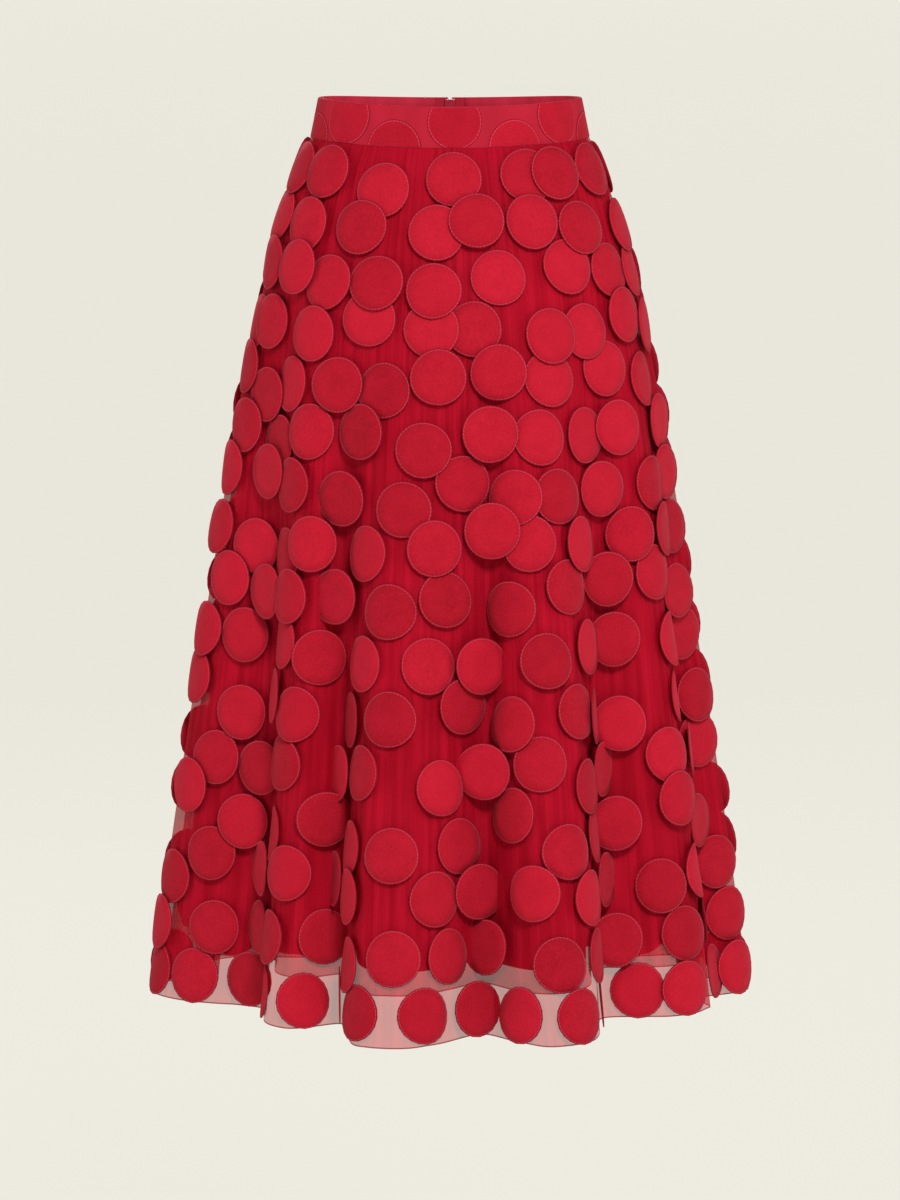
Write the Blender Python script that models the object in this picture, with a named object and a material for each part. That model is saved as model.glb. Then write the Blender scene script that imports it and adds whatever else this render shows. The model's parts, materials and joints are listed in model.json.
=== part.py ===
"""High-waisted midi skirt of spotted tulle, hollow, as if filled out by a wearer.

The cloth is worked out as one surface: a waistband and a flared skirt whose outline comes
from a short table of sections, and whose hem folds come from a short table of folds.
The outer tulle, the second tulle and the lining are walls on that surface, one inside the
other. Metres, +Z up, the front faces -Y, the origin is at the middle of the waistband.
Angles go round from the front (0) by the wearer's left side (90) to centre back (180).
"""
import bisect
import math
import random
from collections import namedtuple

import bmesh
import bpy
from mathutils import Matrix, Vector
from mathutils.geometry import delaunay_2d_cdt

# Driving dimensions
BAND_DEPTH = 0.036
SKIRT_DROP = 0.774
WAIST_DIP = 0.0045
SEAM_GAP = 0.0003

# Section: outline of the outer tulle at a distance below the band seam
Section = namedtuple("Section", "drop half_width half_depth")
SECTIONS = (
    Section(-0.036, 0.1170, 0.0890),
    Section(0.000, 0.1243, 0.0945),
    Section(0.024, 0.1350, 0.1040),
    Section(0.100, 0.1586, 0.1270),
    Section(0.237, 0.1890, 0.1600),
    Section(0.391, 0.2144, 0.1900),
    Section(0.602, 0.2480, 0.2310),
    Section(0.774, 0.2725, 0.2630),
)

BAND_SEAM = 1

# Fold: a crest and the valley after it, going round. Insets are measured in from the
# outline at the hem, start is the drop where the fold begins, lean is how many degrees
# further round the valley lies at the top.
Fold = namedtuple("Fold", "crest crest_inset valley valley_inset start lean")
FOLDS = (
    Fold(-90, 0.000, -60, 0.080, 0.10, 0),
    Fold(-40, 0.042, -31, 0.084, 0.14, -2),
    Fold(-13, 0.006, 8, 0.066, 0.13, 8),
    Fold(21, 0.003, 45, 0.079, 0.12, 3),
    Fold(66, 0.024, 77, 0.042, 0.12, 0),
    Fold(90, 0.000, 105, 0.055, 0.10, 0),
    Fold(119, 0.010, 134, 0.074, 0.13, -3),
    Fold(149, 0.020, 163, 0.068, 0.15, 0),
    Fold(178, 0.006, 193, 0.062, 0.16, 2),
    Fold(208, 0.014, 224, 0.080, 0.12, 4),
    Fold(242, 0.022, 256, 0.052, 0.12, 0),
)
FOLD_GROWTH = 1.2
GAP_GROWTH = 0.7
CREST_ROUNDNESS = 1.25
FIRST_FOLD = min(fold.start for fold in FOLDS)
DEEPEST_FOLD = max(fold.valley_inset for fold in FOLDS)

# Layer: how much shorter it is than the outer tulle, how far inside its outline it lies
# at the band and at the hem, how much of each fold it keeps, and its wall at the band
# and at the hem
Layer = namedtuple("Layer", "shorter gap_top gap_hem keep wall_top wall_hem")
BAND = Layer(0.0, 0.0, 0.0, 1.0, 0.0025, 0.0025)
FACING = Layer(0.0, 0.0030, 0.0030, 1.0, 0.0010, 0.0010)
OUTER = Layer(0.0, 0.0, 0.0, 1.0, 0.0012, 0.0026)
UNDER = Layer(0.043, 0.0015, 0.0075, 0.97, 0.0010, 0.0010)
LINING = Layer(0.062, 0.0030, 0.0145, 0.94, 0.0010, 0.0010)

# Panel: the part of the way round that a piece covers
Panel = namedtuple("Panel", "name start end")
PANELS = (
    Panel("front", -90, 90),
    Panel("back_left", 90, 180),
    Panel("back_right", 180, 270),
)
CENTRE_BACK = 180
DEEP_FOLD = 0.046
DEEP_FOLD_STEPS = (0.0, 0.33, 0.67)
SHALLOW_FOLD_STEPS = (0.0, 0.50)
NARROWEST_COLUMN = 1.5
SPOTTED_ROWS = 14
PLAIN_LEVELS = (0.0, 0.04, 0.10, 0.19, 0.36, 0.56)

# Round appliques, raised in the outer tulle and the band
SPOT_RADIUS = 0.0225
SPOT_SIDES = 7
SPOT_RAISE = 0.0012
SPOT_BEVEL = 0.0004
SPOT_SPACING_TOP = 0.0485
SPOT_SPACING_HEM = 0.0610
SPOT_NEAREST_TOP = 0.0400
SPOT_NEAREST_HEM = 0.0465
SPOT_ROW_RATIO = 0.90
SPOT_WANDER = 0.24
SPOT_EDGE = 0.0015
SPOT_LEAST_SHARE = 0.04
SPOT_CLEAR = 0.005
SPOT_SPREADING_PASSES = 14
SPOT_SEED = 11
BAND_SPOTS = 14
BAND_SPOT_FIRST = 2.0
BAND_SPOT_HIGH = -0.0235
BAND_SPOT_LOW = 0.0010

# Gathers under the band
GATHER_DEPTH = 0.0018
GATHER_PEAK = 0.020
GATHER_END = 0.090

# Concealed zip at centre back
ZIP_GAP = 0.0032
ZIP_DROP = 0.180
ZIP_TAPE_WIDTH = 0.012
ZIP_TAPE_TOP = 0.0015
ZIP_CLOSE = 0.012
LINING_LEVELS = (0.04, 0.10, ZIP_DROP, ZIP_DROP + ZIP_CLOSE, 0.36, 0.56)
SLIDER_TOP = 0.0010
SLIDER_HEIGHT = 0.0110
SHOE_WIDTH = 0.0090
SHOE_THICK = 0.0028
SHOE_DEPTH = 0.0042
NECK_WIDTH = 0.0022
NECK_RIM = 0.0015
HEAD_WIDTH = 0.0058
HEAD_HEIGHT = 0.0090
HEAD_THICK = 0.0014
HEAD_STAND_OFF = 0.0006
EAR_THICK = 0.0011
EAR_INSET = 0.0001
EAR_HEIGHT = 0.0034
EAR_REACH = 0.0038
PIN_RADIUS = 0.0006
PIN_HOLE_RADIUS = 0.0009
PIN_STAND_OFF = 0.0026
PIN_SIDES = 12
PIN_END_INSET = 0.0002
PULL_LENGTH = 0.0230
PULL_THICK = 0.0012
PULL_NECK_WIDTH = 0.0028
PULL_NECK = 0.0042
PULL_END_RADIUS = 0.0030
PULL_HOLE_RADIUS = 0.0013
PULL_HEAD = 0.0012

# sRGB colour, roughness and metallic value of each piece
Finish = namedtuple("Finish", "colour roughness metallic")
FINISHES = {
    "waistband": Finish("B32036", 0.75, 0.0),
    "band_facing": Finish("A81C30", 0.80, 0.0),
    "outer": Finish("BE1C33", 0.85, 0.0),
    "under_tulle": Finish("A51A2C", 0.85, 0.0),
    "lining": Finish("8E1020", 0.60, 0.0),
    "zip_tape": Finish("8A1526", 0.80, 0.0),
    "zip_slider": Finish("7A2028", 0.35, 0.6),
    "zip_pull_tab": Finish("7A2028", 0.35, 0.6),
}


def linear(hex_colour):
    """Turn an sRGB hex colour into linear RGBA."""
    channels = [int(hex_colour[i:i + 2], 16) / 255 for i in (0, 2, 4)]
    return [c / 12.92 if c <= 0.04045 else ((c + 0.055) / 1.055) ** 2.4 for c in channels] + [1.0]


def blend(low, high, share):
    return low + (high - low) * share


def share_down(drop):
    """0 at the band seam and above, 1 at the outer hem."""
    return min(max(drop / SKIRT_DROP, 0.0), 1.0)


def section_slope(index, column):
    """Slope of a column of the section table at one of the skirt's rows."""
    before = max(index - 1, BAND_SEAM)
    after = min(index + 1, len(SECTIONS) - 1)
    rise = getattr(SECTIONS[after], column) - getattr(SECTIONS[before], column)
    return rise / (SECTIONS[after].drop - SECTIONS[before].drop)


def section(drop, column):
    """One column of the section table: straight down the band, a smooth curve below it."""
    drops = [row.drop for row in SECTIONS]
    index = min(max(bisect.bisect_right(drops, drop) - 1, 0), len(drops) - 2)
    span = drops[index + 1] - drops[index]
    t = (drop - drops[index]) / span
    start = getattr(SECTIONS[index], column)
    end = getattr(SECTIONS[index + 1], column)
    if index < BAND_SEAM:
        return blend(start, end, t)
    start_slope = section_slope(index, column) * span
    end_slope = section_slope(index + 1, column) * span
    return ((2 * t ** 3 - 3 * t ** 2 + 1) * start + (t ** 3 - 2 * t ** 2 + t) * start_slope
            + (3 * t ** 2 - 2 * t ** 3) * end + (t ** 3 - t ** 2) * end_slope)


Knot = namedtuple("Knot", "angle inset start lean is_crest")


def fold_knots():
    """Crests and valleys in order, with the first crest again at the end."""
    knots = []
    for fold in FOLDS:
        knots.append(Knot(fold.crest, fold.crest_inset, fold.start, 0, True))
        knots.append(Knot(fold.valley, fold.valley_inset, fold.start, fold.lean, False))
    first = knots[0]
    knots.append(first._replace(angle=first.angle + 360))
    return knots


KNOTS = fold_knots()
KNOT_ANGLES = [knot.angle for knot in KNOTS]


def knots_beside(angle):
    """The crest and the valley on either side, and 0 at the crest to 1 at the valley."""
    angle = KNOT_ANGLES[0] + (angle - KNOT_ANGLES[0]) % 360
    index = min(bisect.bisect_right(KNOT_ANGLES, angle) - 1, len(KNOTS) - 2)
    here, after = KNOTS[index], KNOTS[index + 1]
    along = (angle - here.angle) / (after.angle - here.angle)
    if here.is_crest:
        return here, after, along
    return after, here, 1 - along


def grown(drop, start):
    """How much of its hem depth a fold has at this drop."""
    if drop <= start:
        return 0.0
    return ((drop - start) / (SKIRT_DROP - start)) ** FOLD_GROWTH


def fold_inset(angle, drop):
    """How far the outer tulle falls inside its outline."""
    _, valley, along = knots_beside(angle)
    angle = angle - valley.lean * along * along * (1 - share_down(drop))
    crest, valley, along = knots_beside(angle)
    share = 0.5 - 0.5 * math.cos(math.pi * along ** CREST_ROUNDNESS)
    start = blend(crest.start, valley.start, share)
    return blend(crest.inset, valley.inset, share) * grown(drop, start)


def layer_inset(angle, drop, layer):
    """How far a layer lies inside the outline of the outer tulle."""
    gap = blend(layer.gap_top, layer.gap_hem, share_down(drop) ** GAP_GROWTH)
    fold = fold_inset(angle, drop)
    flatter = (1 - layer.keep) * (DEEPEST_FOLD * grown(drop, FIRST_FOLD) - fold)
    return gap + fold + flatter


def surface(angle, drop, layer):
    """A point on a layer's outer face."""
    turn = math.radians(angle)
    inset = layer_inset(angle, drop, layer)
    dip = WAIST_DIP * math.cos(turn) ** 2 * (1 - share_down(drop))
    return Vector((
        (section(drop, "half_width") - inset) * math.sin(turn),
        -(section(drop, "half_depth") - inset) * math.cos(turn),
        -BAND_DEPTH / 2 - drop - dip,
    ))


def slopes(angle, drop, layer):
    """How a point on the face moves per degree round and per metre down."""
    small_turn = 0.05
    small_drop = 0.0002
    round_it = surface(angle + small_turn, drop, layer) - surface(angle - small_turn, drop, layer)
    down_it = surface(angle, drop + small_drop, layer) - surface(angle, drop - small_drop, layer)
    return round_it / (2 * small_turn), down_it / (2 * small_drop)


def outward(angle, drop, layer):
    per_degree, per_metre = slopes(angle, drop, layer)
    return per_metre.cross(per_degree).normalized()


def through_wall(angle, drop, layer):
    """The level step from a wall's outer face to its inner face."""
    normal = outward(angle, drop, layer)
    level = Vector((normal.x, normal.y, 0.0))
    wall = blend(layer.wall_top, layer.wall_hem, share_down(drop) ** 0.5)
    return level * (-wall / level.length_squared)


def walk(angle, drop, direction, distance, layer, steps=4):
    """Go a distance over the cloth and return the angle and drop that it leads to."""
    for _ in range(steps):
        per_degree, per_metre = slopes(angle, drop, layer)
        normal = per_metre.cross(per_degree).normalized()
        direction = (direction - normal * direction.dot(normal)).normalized()
        step = direction * (distance / steps)
        a, b, c = per_degree.dot(per_degree), per_degree.dot(per_metre), per_metre.dot(per_metre)
        p, q = per_degree.dot(step), per_metre.dot(step)
        scale = a * c - b * b
        angle += (p * c - q * b) / scale
        drop += (q * a - p * b) / scale
    return angle, drop


def opening_edge(edge, drop, layer, opening):
    """Half the gap at a panel's edge: a seam, or the zip opening at centre back."""
    if edge != CENTRE_BACK:
        return SEAM_GAP / 2
    if drop <= ZIP_DROP:
        return opening
    closed = min((drop - ZIP_DROP) / ZIP_CLOSE, 1.0)
    return blend(opening, SEAM_GAP / 2, closed)


def edge_angles(panel, drop, layer, opening):
    """The panel's two edges at this drop, in degrees, seam gaps taken off."""
    edges = []
    for edge, inward in ((panel.start, 1), (panel.end, -1)):
        side = edge != CENTRE_BACK
        reach = section(drop, "half_depth" if side else "half_width") - layer_inset(edge, drop, layer)
        gap = opening_edge(edge, drop, layer, opening)
        edges.append(edge + inward * math.degrees(gap / reach))
    return edges


def panel_angle(panel, share, drop, layer, opening):
    low, high = edge_angles(panel, drop, layer, opening)
    return blend(low, high, share)


def panel_columns(panel):
    """Where the panel's columns stand, from 0 to 1: on each crest and valley and between."""
    kept = [panel.start]
    for here, after in zip(KNOTS, KNOTS[1:]):
        deep = abs(after.inset - here.inset) > DEEP_FOLD
        steps = DEEP_FOLD_STEPS if deep else SHALLOW_FOLD_STEPS
        for step in steps:
            angle = blend(here.angle, after.angle, step)
            if kept[-1] + NARROWEST_COLUMN < angle < panel.end - NARROWEST_COLUMN:
                kept.append(angle)
    width = panel.end - panel.start
    return [(angle - panel.start) / width for angle in kept] + [1.0]


def add_object(name, bm):
    """Finish a mesh as a named object with its own material."""
    bmesh.ops.recalc_face_normals(bm, faces=bm.faces[:])
    mesh = bpy.data.meshes.new(name)
    bm.to_mesh(mesh)
    bm.free()
    mesh.shade_smooth()
    mesh.set_sharp_from_angle(angle=math.radians(35))
    finish = next(value for key, value in FINISHES.items() if name.startswith(key))
    material = bpy.data.materials.new(name)
    material.use_nodes = True
    shader = material.node_tree.nodes["Principled BSDF"]
    shader.inputs["Base Color"].default_value = linear(finish.colour)
    shader.inputs["Roughness"].default_value = finish.roughness
    shader.inputs["Metallic"].default_value = finish.metallic
    mesh.materials.append(material)
    made = bpy.data.objects.new(name, mesh)
    bpy.context.scene.collection.objects.link(made)
    return made


def panel_edge(columns, levels):
    """The edge of a panel, going round it once, as shares and drops."""
    edge = [(share, levels[-1]) for share in columns]
    edge += [(1.0, level) for level in reversed(levels[1:-1])]
    edge += [(share, levels[0]) for share in reversed(columns)]
    return edge + [(0.0, level) for level in levels[1:-1]]


def lay_face(bm, panel, layer, columns, levels, opening, inside):
    """One plain face of a wall, with every cell split along the same diagonal."""
    verts = {}
    for share in columns:
        for level in levels:
            angle = panel_angle(panel, share, level, layer, opening)
            point = surface(angle, level, layer)
            if inside:
                point += through_wall(angle, level, layer)
            verts[share, level] = bm.verts.new(point)
    for left, right in zip(columns, columns[1:]):
        for high, low in zip(levels, levels[1:]):
            bm.faces.new([verts[left, high], verts[right, high], verts[right, low]])
            bm.faces.new([verts[left, high], verts[right, low], verts[left, low]])
    return verts


def close_edge(bm, outer, inner, edge):
    """Join the two faces of a wall along the panel's edge."""
    for here, after in zip(edge, edge[1:] + edge[:1]):
        bm.faces.new([outer[here], inner[here], inner[after], outer[after]])


def plain_wall(name, panel, layer, levels, opening, columns):
    """A plain panel: an outer face, an inner face and the edge between them."""
    bm = bmesh.new()
    outer = lay_face(bm, panel, layer, columns, levels, opening, inside=False)
    inner = lay_face(bm, panel, layer, columns, levels, opening, inside=True)
    close_edge(bm, outer, inner, panel_edge(columns, levels))
    return add_object(name, bm)


def gather_height(drop, column):
    """Small gathers stand out just under the band, every second column."""
    if column % 2 == 0 or drop <= 0 or drop >= GATHER_END:
        return 0.0
    if drop < GATHER_PEAK:
        return GATHER_DEPTH * drop / GATHER_PEAK
    return GATHER_DEPTH * (GATHER_END - drop) / (GATHER_END - GATHER_PEAK)


Spot = namedtuple("Spot", "angle drop radius")


def row_angles(drop, count, shift, layer):
    """Angles that part a level line on the cloth into equal lengths."""
    fine = 3
    angles = [step * fine for step in range(360 // fine + 1)]
    points = [surface(angle, drop, layer) for angle in angles]
    run = [0.0]
    for here, after in zip(points, points[1:]):
        run.append(run[-1] + (after - here).length)
    found = []
    for index in range(count):
        want = (index + shift) % count / count * run[-1]
        at = min(bisect.bisect_right(run, want) - 1, len(angles) - 2)
        found.append(angles[at] + fine * (want - run[at]) / (run[at + 1] - run[at]))
    return found


def line_length(drop, low, high, layer):
    """Length of the cloth along a level line between two angles."""
    steps = 120
    points = [surface(blend(low, high, step / steps), drop, layer) for step in range(steps + 1)]
    return sum((after - here).length for here, after in zip(points, points[1:]))


def kept_off_seams(angle, drop, layer):
    """Move an applique's centre just far enough from a seam to lie on one panel."""
    clear = SPOT_RADIUS + SPOT_EDGE
    for panel in PANELS:
        if panel.start <= -90 + (angle + 90) % 360 <= panel.end:
            break
    angle = -90 + (angle + 90) % 360
    for edge, inward in ((panel.start, 1), (panel.end, -1)):
        direction = slopes(edge, drop, layer)[0] * inward
        nearest, _ = walk(edge, drop, direction, clear, layer)
        if (angle - nearest) * inward < 0:
            angle = nearest
    return angle


def push_apart(angles, drops, points, layer):
    """Move appliques that crowd each other a little way apart."""
    for first in range(len(angles)):
        for second in range(first + 1, len(angles)):
            if drops[second] - drops[first] > 2 * SPOT_RADIUS + SPOT_SPACING_HEM:
                break
            nearest = blend(SPOT_NEAREST_TOP, SPOT_NEAREST_HEM, share_down(drops[first]))
            between = points[second] - points[first]
            if between.length >= nearest:
                continue
            push = between.normalized() * (nearest - between.length) / 2
            for index, move in ((first, -push), (second, push)):
                per_degree, per_metre = slopes(angles[index], drops[index], layer)
                angles[index] += move.dot(per_degree) / per_degree.length_squared
                drops[index] += move.dot(per_metre) / per_metre.length_squared


def scatter_spots():
    """Appliques in staggered rows that wander, closer together where the cloth is gathered."""
    rng = random.Random(SPOT_SEED)
    angles = []
    drops = []
    highest = SPOT_RADIUS + SPOT_EDGE
    lowest = SKIRT_DROP - highest
    drop = highest
    row = 0
    while drop < lowest + SPOT_SPACING_HEM / 4:
        spacing = blend(SPOT_SPACING_TOP, SPOT_SPACING_HEM, share_down(drop))
        count = round(line_length(drop, -90, 270, OUTER) / spacing)
        for angle in row_angles(drop, count, 0.5 * (row % 2), OUTER):
            angles.append(angle + rng.uniform(-1, 1) * SPOT_WANDER * 360 / count)
            drops.append(drop + rng.uniform(-1, 1) * SPOT_WANDER * spacing)
        drop += spacing * SPOT_ROW_RATIO
        row += 1
    for _ in range(SPOT_SPREADING_PASSES):
        angles = [kept_off_seams(angle, drop, OUTER) for angle, drop in zip(angles, drops)]
        drops = [min(max(drop, highest), lowest) for drop in drops]
        order = sorted(range(len(drops)), key=lambda index: drops[index])
        angles = [angles[index] for index in order]
        drops = [drops[index] for index in order]
        points = [surface(angle, drop, OUTER) for angle, drop in zip(angles, drops)]
        push_apart(angles, drops, points, OUTER)
    drops = [min(max(drop, highest), lowest) for drop in drops]
    angles = [kept_off_seams(angle, drop, OUTER) for angle, drop in zip(angles, drops)]
    return list(zip(angles, drops))


def fitted_spots(places, layer):
    """Give each applique a radius, drawn in where a neighbour crowds it."""
    points = [surface(angle, drop, layer) for angle, drop in places]
    spots = []
    for index, (angle, drop) in enumerate(places):
        nearest = min((point - points[index]).length
                      for other, point in enumerate(points) if other != index)
        spots.append(Spot(angle, drop, min(SPOT_RADIUS, nearest / 2 - 2 * SPOT_BEVEL)))
    return spots


def band_spots():
    """The band's appliques: high and low in turn, cut off by its edges."""
    places = []
    for index in range(BAND_SPOTS):
        drop = BAND_SPOT_HIGH if index % 2 == 0 else BAND_SPOT_LOW
        places.append(Spot(BAND_SPOT_FIRST + index * 360 / BAND_SPOTS, drop, SPOT_RADIUS))
    return places


def on_panel(angle, drop, panel, layer, opening):
    """Share of the way across the panel, with the angle taken to the panel's turn."""
    low, high = edge_angles(panel, drop, layer, opening)
    middle = (low + high) / 2
    angle = middle + (angle - middle + 180) % 360 - 180
    return (angle - low) / (high - low)


def spot_ring(spot, radius, margin, panel, layer, opening, top, bottom):
    """An applique's rim as shares and drops, cut off where it meets the panel's edges."""
    sideways, downwards = (step.normalized() for step in slopes(spot.angle, spot.drop, layer))
    ring = []
    for corner in range(SPOT_SIDES):
        turn = 2 * math.pi * (corner + 0.5) / SPOT_SIDES + math.radians(spot.angle * SPOT_SIDES)
        direction = sideways * math.cos(turn) + downwards * math.sin(turn)
        angle, drop = walk(spot.angle, spot.drop, direction, radius, layer)
        drop = min(max(drop, top + margin), bottom - margin)
        share = on_panel(angle, drop, panel, layer, opening)
        rim = margin / (SECTIONS[0].half_depth * math.radians(panel.end - panel.start))
        place = (min(max(share, rim), 1 - rim), drop)
        if place not in ring:
            ring.append(place)
    return ring


def bare_points(panel, columns, top, bottom, rows):
    """Points of the bare cloth: each row on every column, and on the crests halfway too."""
    between = [(here + after) / 2 for here, after in zip(columns, columns[1:])]
    crests = [(knot.angle - panel.start) / (panel.end - panel.start) for knot in KNOTS
              if knot.is_crest and panel.start < knot.angle < panel.end]
    found = []
    for row in range(1, rows):
        drop = blend(top, bottom, row / rows)
        stands = sorted(columns + between) if 0 < drop < GATHER_END else columns
        for column in range(1, len(stands) - 1):
            found.append((stands[column], drop, gather_height(drop, column)))
        if drop >= GATHER_END:
            halfway = blend(top, bottom, (row + 0.5) / rows)
            found += [(share, halfway, 0.0) for share in crests]
    return found


def out_to_facet(point, normal, place, panel, layer, columns, levels, opening):
    """Move a point out to the plain facets of the layers inside, where they bridge a valley."""
    share, drop = place
    column = min(max(bisect.bisect_right(columns, share) - 1, 0), len(columns) - 2)
    row = min(max(bisect.bisect_right(levels, drop) - 1, 0), len(levels) - 2)
    left, right = columns[column:column + 2]
    high, low = levels[row:row + 2]
    by_right = (share - left) / (right - left) > (drop - high) / (low - high)
    places = [(left, high), (right, high) if by_right else (left, low), (right, low)]
    corners = [surface(panel_angle(panel, *place, layer, opening), place[1], layer) for place in places]
    facet = (corners[1] - corners[0]).cross(corners[2] - corners[0]).normalized()
    if facet.dot(normal) < 0:
        facet = -facet
    lift = (corners[0] - point).dot(facet) / max(facet.dot(normal), 0.5)
    return point + normal * max(lift, 0.0)


def spotted_wall(name, panel, layer, top, bottom, opening, spots, rows, levels):
    """A panel whose appliques are raised in its outer points over a plain inside."""
    columns = panel_columns(panel)
    top_width = line_length(top, panel.start, panel.end, layer)
    bottom_width = line_length(bottom, panel.start, panel.end, layer)

    def flat(share, drop):
        width = blend(top_width, bottom_width, (drop - top) / (bottom - top))
        return Vector(((share - 0.5) * width, -drop))

    edge = panel_edge(columns, levels)
    places = list(edge)
    heights = [0.0] * len(edge)
    lines = [(index, (index + 1) % len(edge)) for index in range(len(edge))]

    # Each applique has a ring on the cloth and a ring on its raised face. It is stiffer than
    # the tulle: where the cloth bends away from it, its face stays level.
    round_spots = []
    face_of = {}
    for spot in spots:
        share = on_panel(spot.angle, spot.drop, panel, layer, opening)
        if not SPOT_LEAST_SHARE < share < 1 - SPOT_LEAST_SHARE:
            continue
        rings = [spot_ring(spot, spot.radius + SPOT_BEVEL, SPOT_BEVEL, panel, layer, opening, top, bottom),
                 spot_ring(spot, spot.radius - SPOT_BEVEL, 3 * SPOT_BEVEL, panel, layer, opening, top, bottom)]
        normal = outward(spot.angle, spot.drop, layer)
        face = surface(spot.angle, spot.drop, layer) + normal * SPOT_RAISE
        for ring, height in zip(rings, (0.0, SPOT_RAISE)):
            first = len(places)
            if height:
                face_of.update({first + i: (face, normal) for i in range(len(ring))})
            places += ring
            heights += [height] * len(ring)
            lines += [(first + i, first + (i + 1) % len(ring)) for i in range(len(ring))]
        flats = [flat(*place) for place in rings[0]]
        centre = sum(flats, Vector((0.0, 0.0))) / len(flats)
        round_spots.append((centre, flats))

    for share, drop, height in bare_points(panel, columns, top, bottom, rows):
        here = flat(share, drop)
        if not any(inside_or_near(here, centre, flats, SPOT_CLEAR) for centre, flats in round_spots):
            places.append((share, drop))
            heights.append(height)

    points = [flat(*place) for place in places]
    result = delaunay_2d_cdt(points, lines, [], 1, 1e-7)
    if len(result[0]) != len(points):
        raise ValueError(name + ": appliques cross each other or the edge")
    bm = bmesh.new()
    outer = []
    for originals in result[3]:
        share, drop = places[originals[0]]
        angle = panel_angle(panel, share, drop, layer, opening)
        normal = outward(angle, drop, layer)
        point = surface(angle, drop, layer)
        point = out_to_facet(point, normal, (share, drop), panel, layer, columns, levels, opening)
        if originals[0] in face_of:
            face, normal = face_of[originals[0]]
            point = point + normal * max((face - point).dot(normal), SPOT_RAISE)
        else:
            point = point + normal * heights[originals[0]]
        outer.append(bm.verts.new(point))
    for face in result[2]:
        bm.faces.new([outer[index] for index in face])

    inner = lay_face(bm, panel, layer, columns, levels, opening, inside=True)
    rim = {edge[originals[0]]: vert for originals, vert in zip(result[3], outer)
           if originals[0] < len(edge)}
    close_edge(bm, rim, inner, edge)
    return add_object(name, bm)


def inside_or_near(point, centre, ring, clear):
    """Whether a point lies inside a ring or close outside it."""
    reach = max((corner - centre).length for corner in ring)
    if (point - centre).length > reach + clear:
        return False
    for here, after in zip(ring, ring[1:] + ring[:1]):
        side = after - here
        away = (point - here).dot(Vector((side.y, -side.x)).normalized())
        centre_side = (centre - here).dot(Vector((side.y, -side.x)).normalized())
        if centre_side * away < 0 and abs(away) > clear:
            return False
    return True


def box(name, low, high):
    """A plain box between two corners."""
    bm = bmesh.new()
    bmesh.ops.create_cube(bm, size=1)
    size = [b - a for a, b in zip(low, high)]
    middle = [(a + b) / 2 for a, b in zip(low, high)]
    bmesh.ops.scale(bm, vec=size, verts=bm.verts)
    bmesh.ops.translate(bm, vec=middle, verts=bm.verts)
    return add_object(name, bm)


def cross_pin(name, radius, length, y, z):
    """A round bar along X."""
    bm = bmesh.new()
    bmesh.ops.create_cone(bm, cap_ends=True, segments=PIN_SIDES, radius1=radius, radius2=radius, depth=length)
    bmesh.ops.rotate(bm, cent=(0, 0, 0), matrix=Matrix.Rotation(math.pi / 2, 3, "Y"), verts=bm.verts)
    bmesh.ops.translate(bm, vec=(0, y, z), verts=bm.verts)
    return add_object(name, bm)


def join_to(body, tool, operation, parent):
    """Fuse a guide shape to a body, or cut it out, and keep the guide hidden."""
    modifier = body.modifiers.new(tool.name, "BOOLEAN")
    modifier.operation = operation
    modifier.object = tool
    tool.hide_render = True
    tool.display_type = "WIRE"
    tool.parent = parent


def zip_frame():
    """An empty at the band's outer face, turned to lie along centre back."""
    top = surface(CENTRE_BACK, -BAND_DEPTH, OUTER)
    seam = surface(CENTRE_BACK, 0, OUTER)
    down = seam - top
    slope = math.atan2(down.y, -down.z)
    frame = bpy.data.objects.new("zip_frame", None)
    bpy.context.scene.collection.objects.link(frame)
    frame.rotation_euler = (slope, 0, 0)
    frame.location = top
    return frame


PIN_Y = HEAD_STAND_OFF + HEAD_THICK + PIN_STAND_OFF
PIN_Z = -SLIDER_TOP - SLIDER_HEIGHT / 2 + EAR_HEIGHT / 2


def make_slider(frame):
    """The slider: a shoe behind the tapes, a neck through the gap, a head with two ears."""
    top = -SLIDER_TOP
    low = top - SLIDER_HEIGHT
    slider = box("zip_slider", (-SHOE_WIDTH / 2, -SHOE_DEPTH - SHOE_THICK, low),
                 (SHOE_WIDTH / 2, -SHOE_DEPTH, top))
    slider.parent = frame
    face = HEAD_STAND_OFF + HEAD_THICK
    head_low = (top + low - HEAD_HEIGHT) / 2
    neck = box("zip_slider_neck", (-NECK_WIDTH / 2, -SHOE_DEPTH - SHOE_THICK / 2, low + NECK_RIM),
               (NECK_WIDTH / 2, face - HEAD_THICK / 2, top - NECK_RIM))
    head = box("zip_slider_head", (-HEAD_WIDTH / 2, HEAD_STAND_OFF, head_low),
               (HEAD_WIDTH / 2, face, head_low + HEAD_HEIGHT))
    join_to(slider, neck, "UNION", frame)
    join_to(slider, head, "UNION", frame)
    for side in (-1, 1):
        edges = sorted((side * HEAD_WIDTH / 2, side * (HEAD_WIDTH / 2 - EAR_THICK)))
        inset = EAR_INSET * side
        ear = box("zip_slider_ear_" + ("right" if side < 0 else "left"),
                  (edges[0] - inset, face - HEAD_THICK / 2, PIN_Z - EAR_HEIGHT / 2),
                  (edges[1] - inset, face + EAR_REACH, PIN_Z + EAR_HEIGHT / 2))
        join_to(slider, ear, "UNION", frame)
    hole = cross_pin("zip_slider_pin_hole", PIN_HOLE_RADIUS, HEAD_WIDTH * 2, PIN_Y, PIN_Z)
    join_to(slider, hole, "DIFFERENCE", frame)


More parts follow.
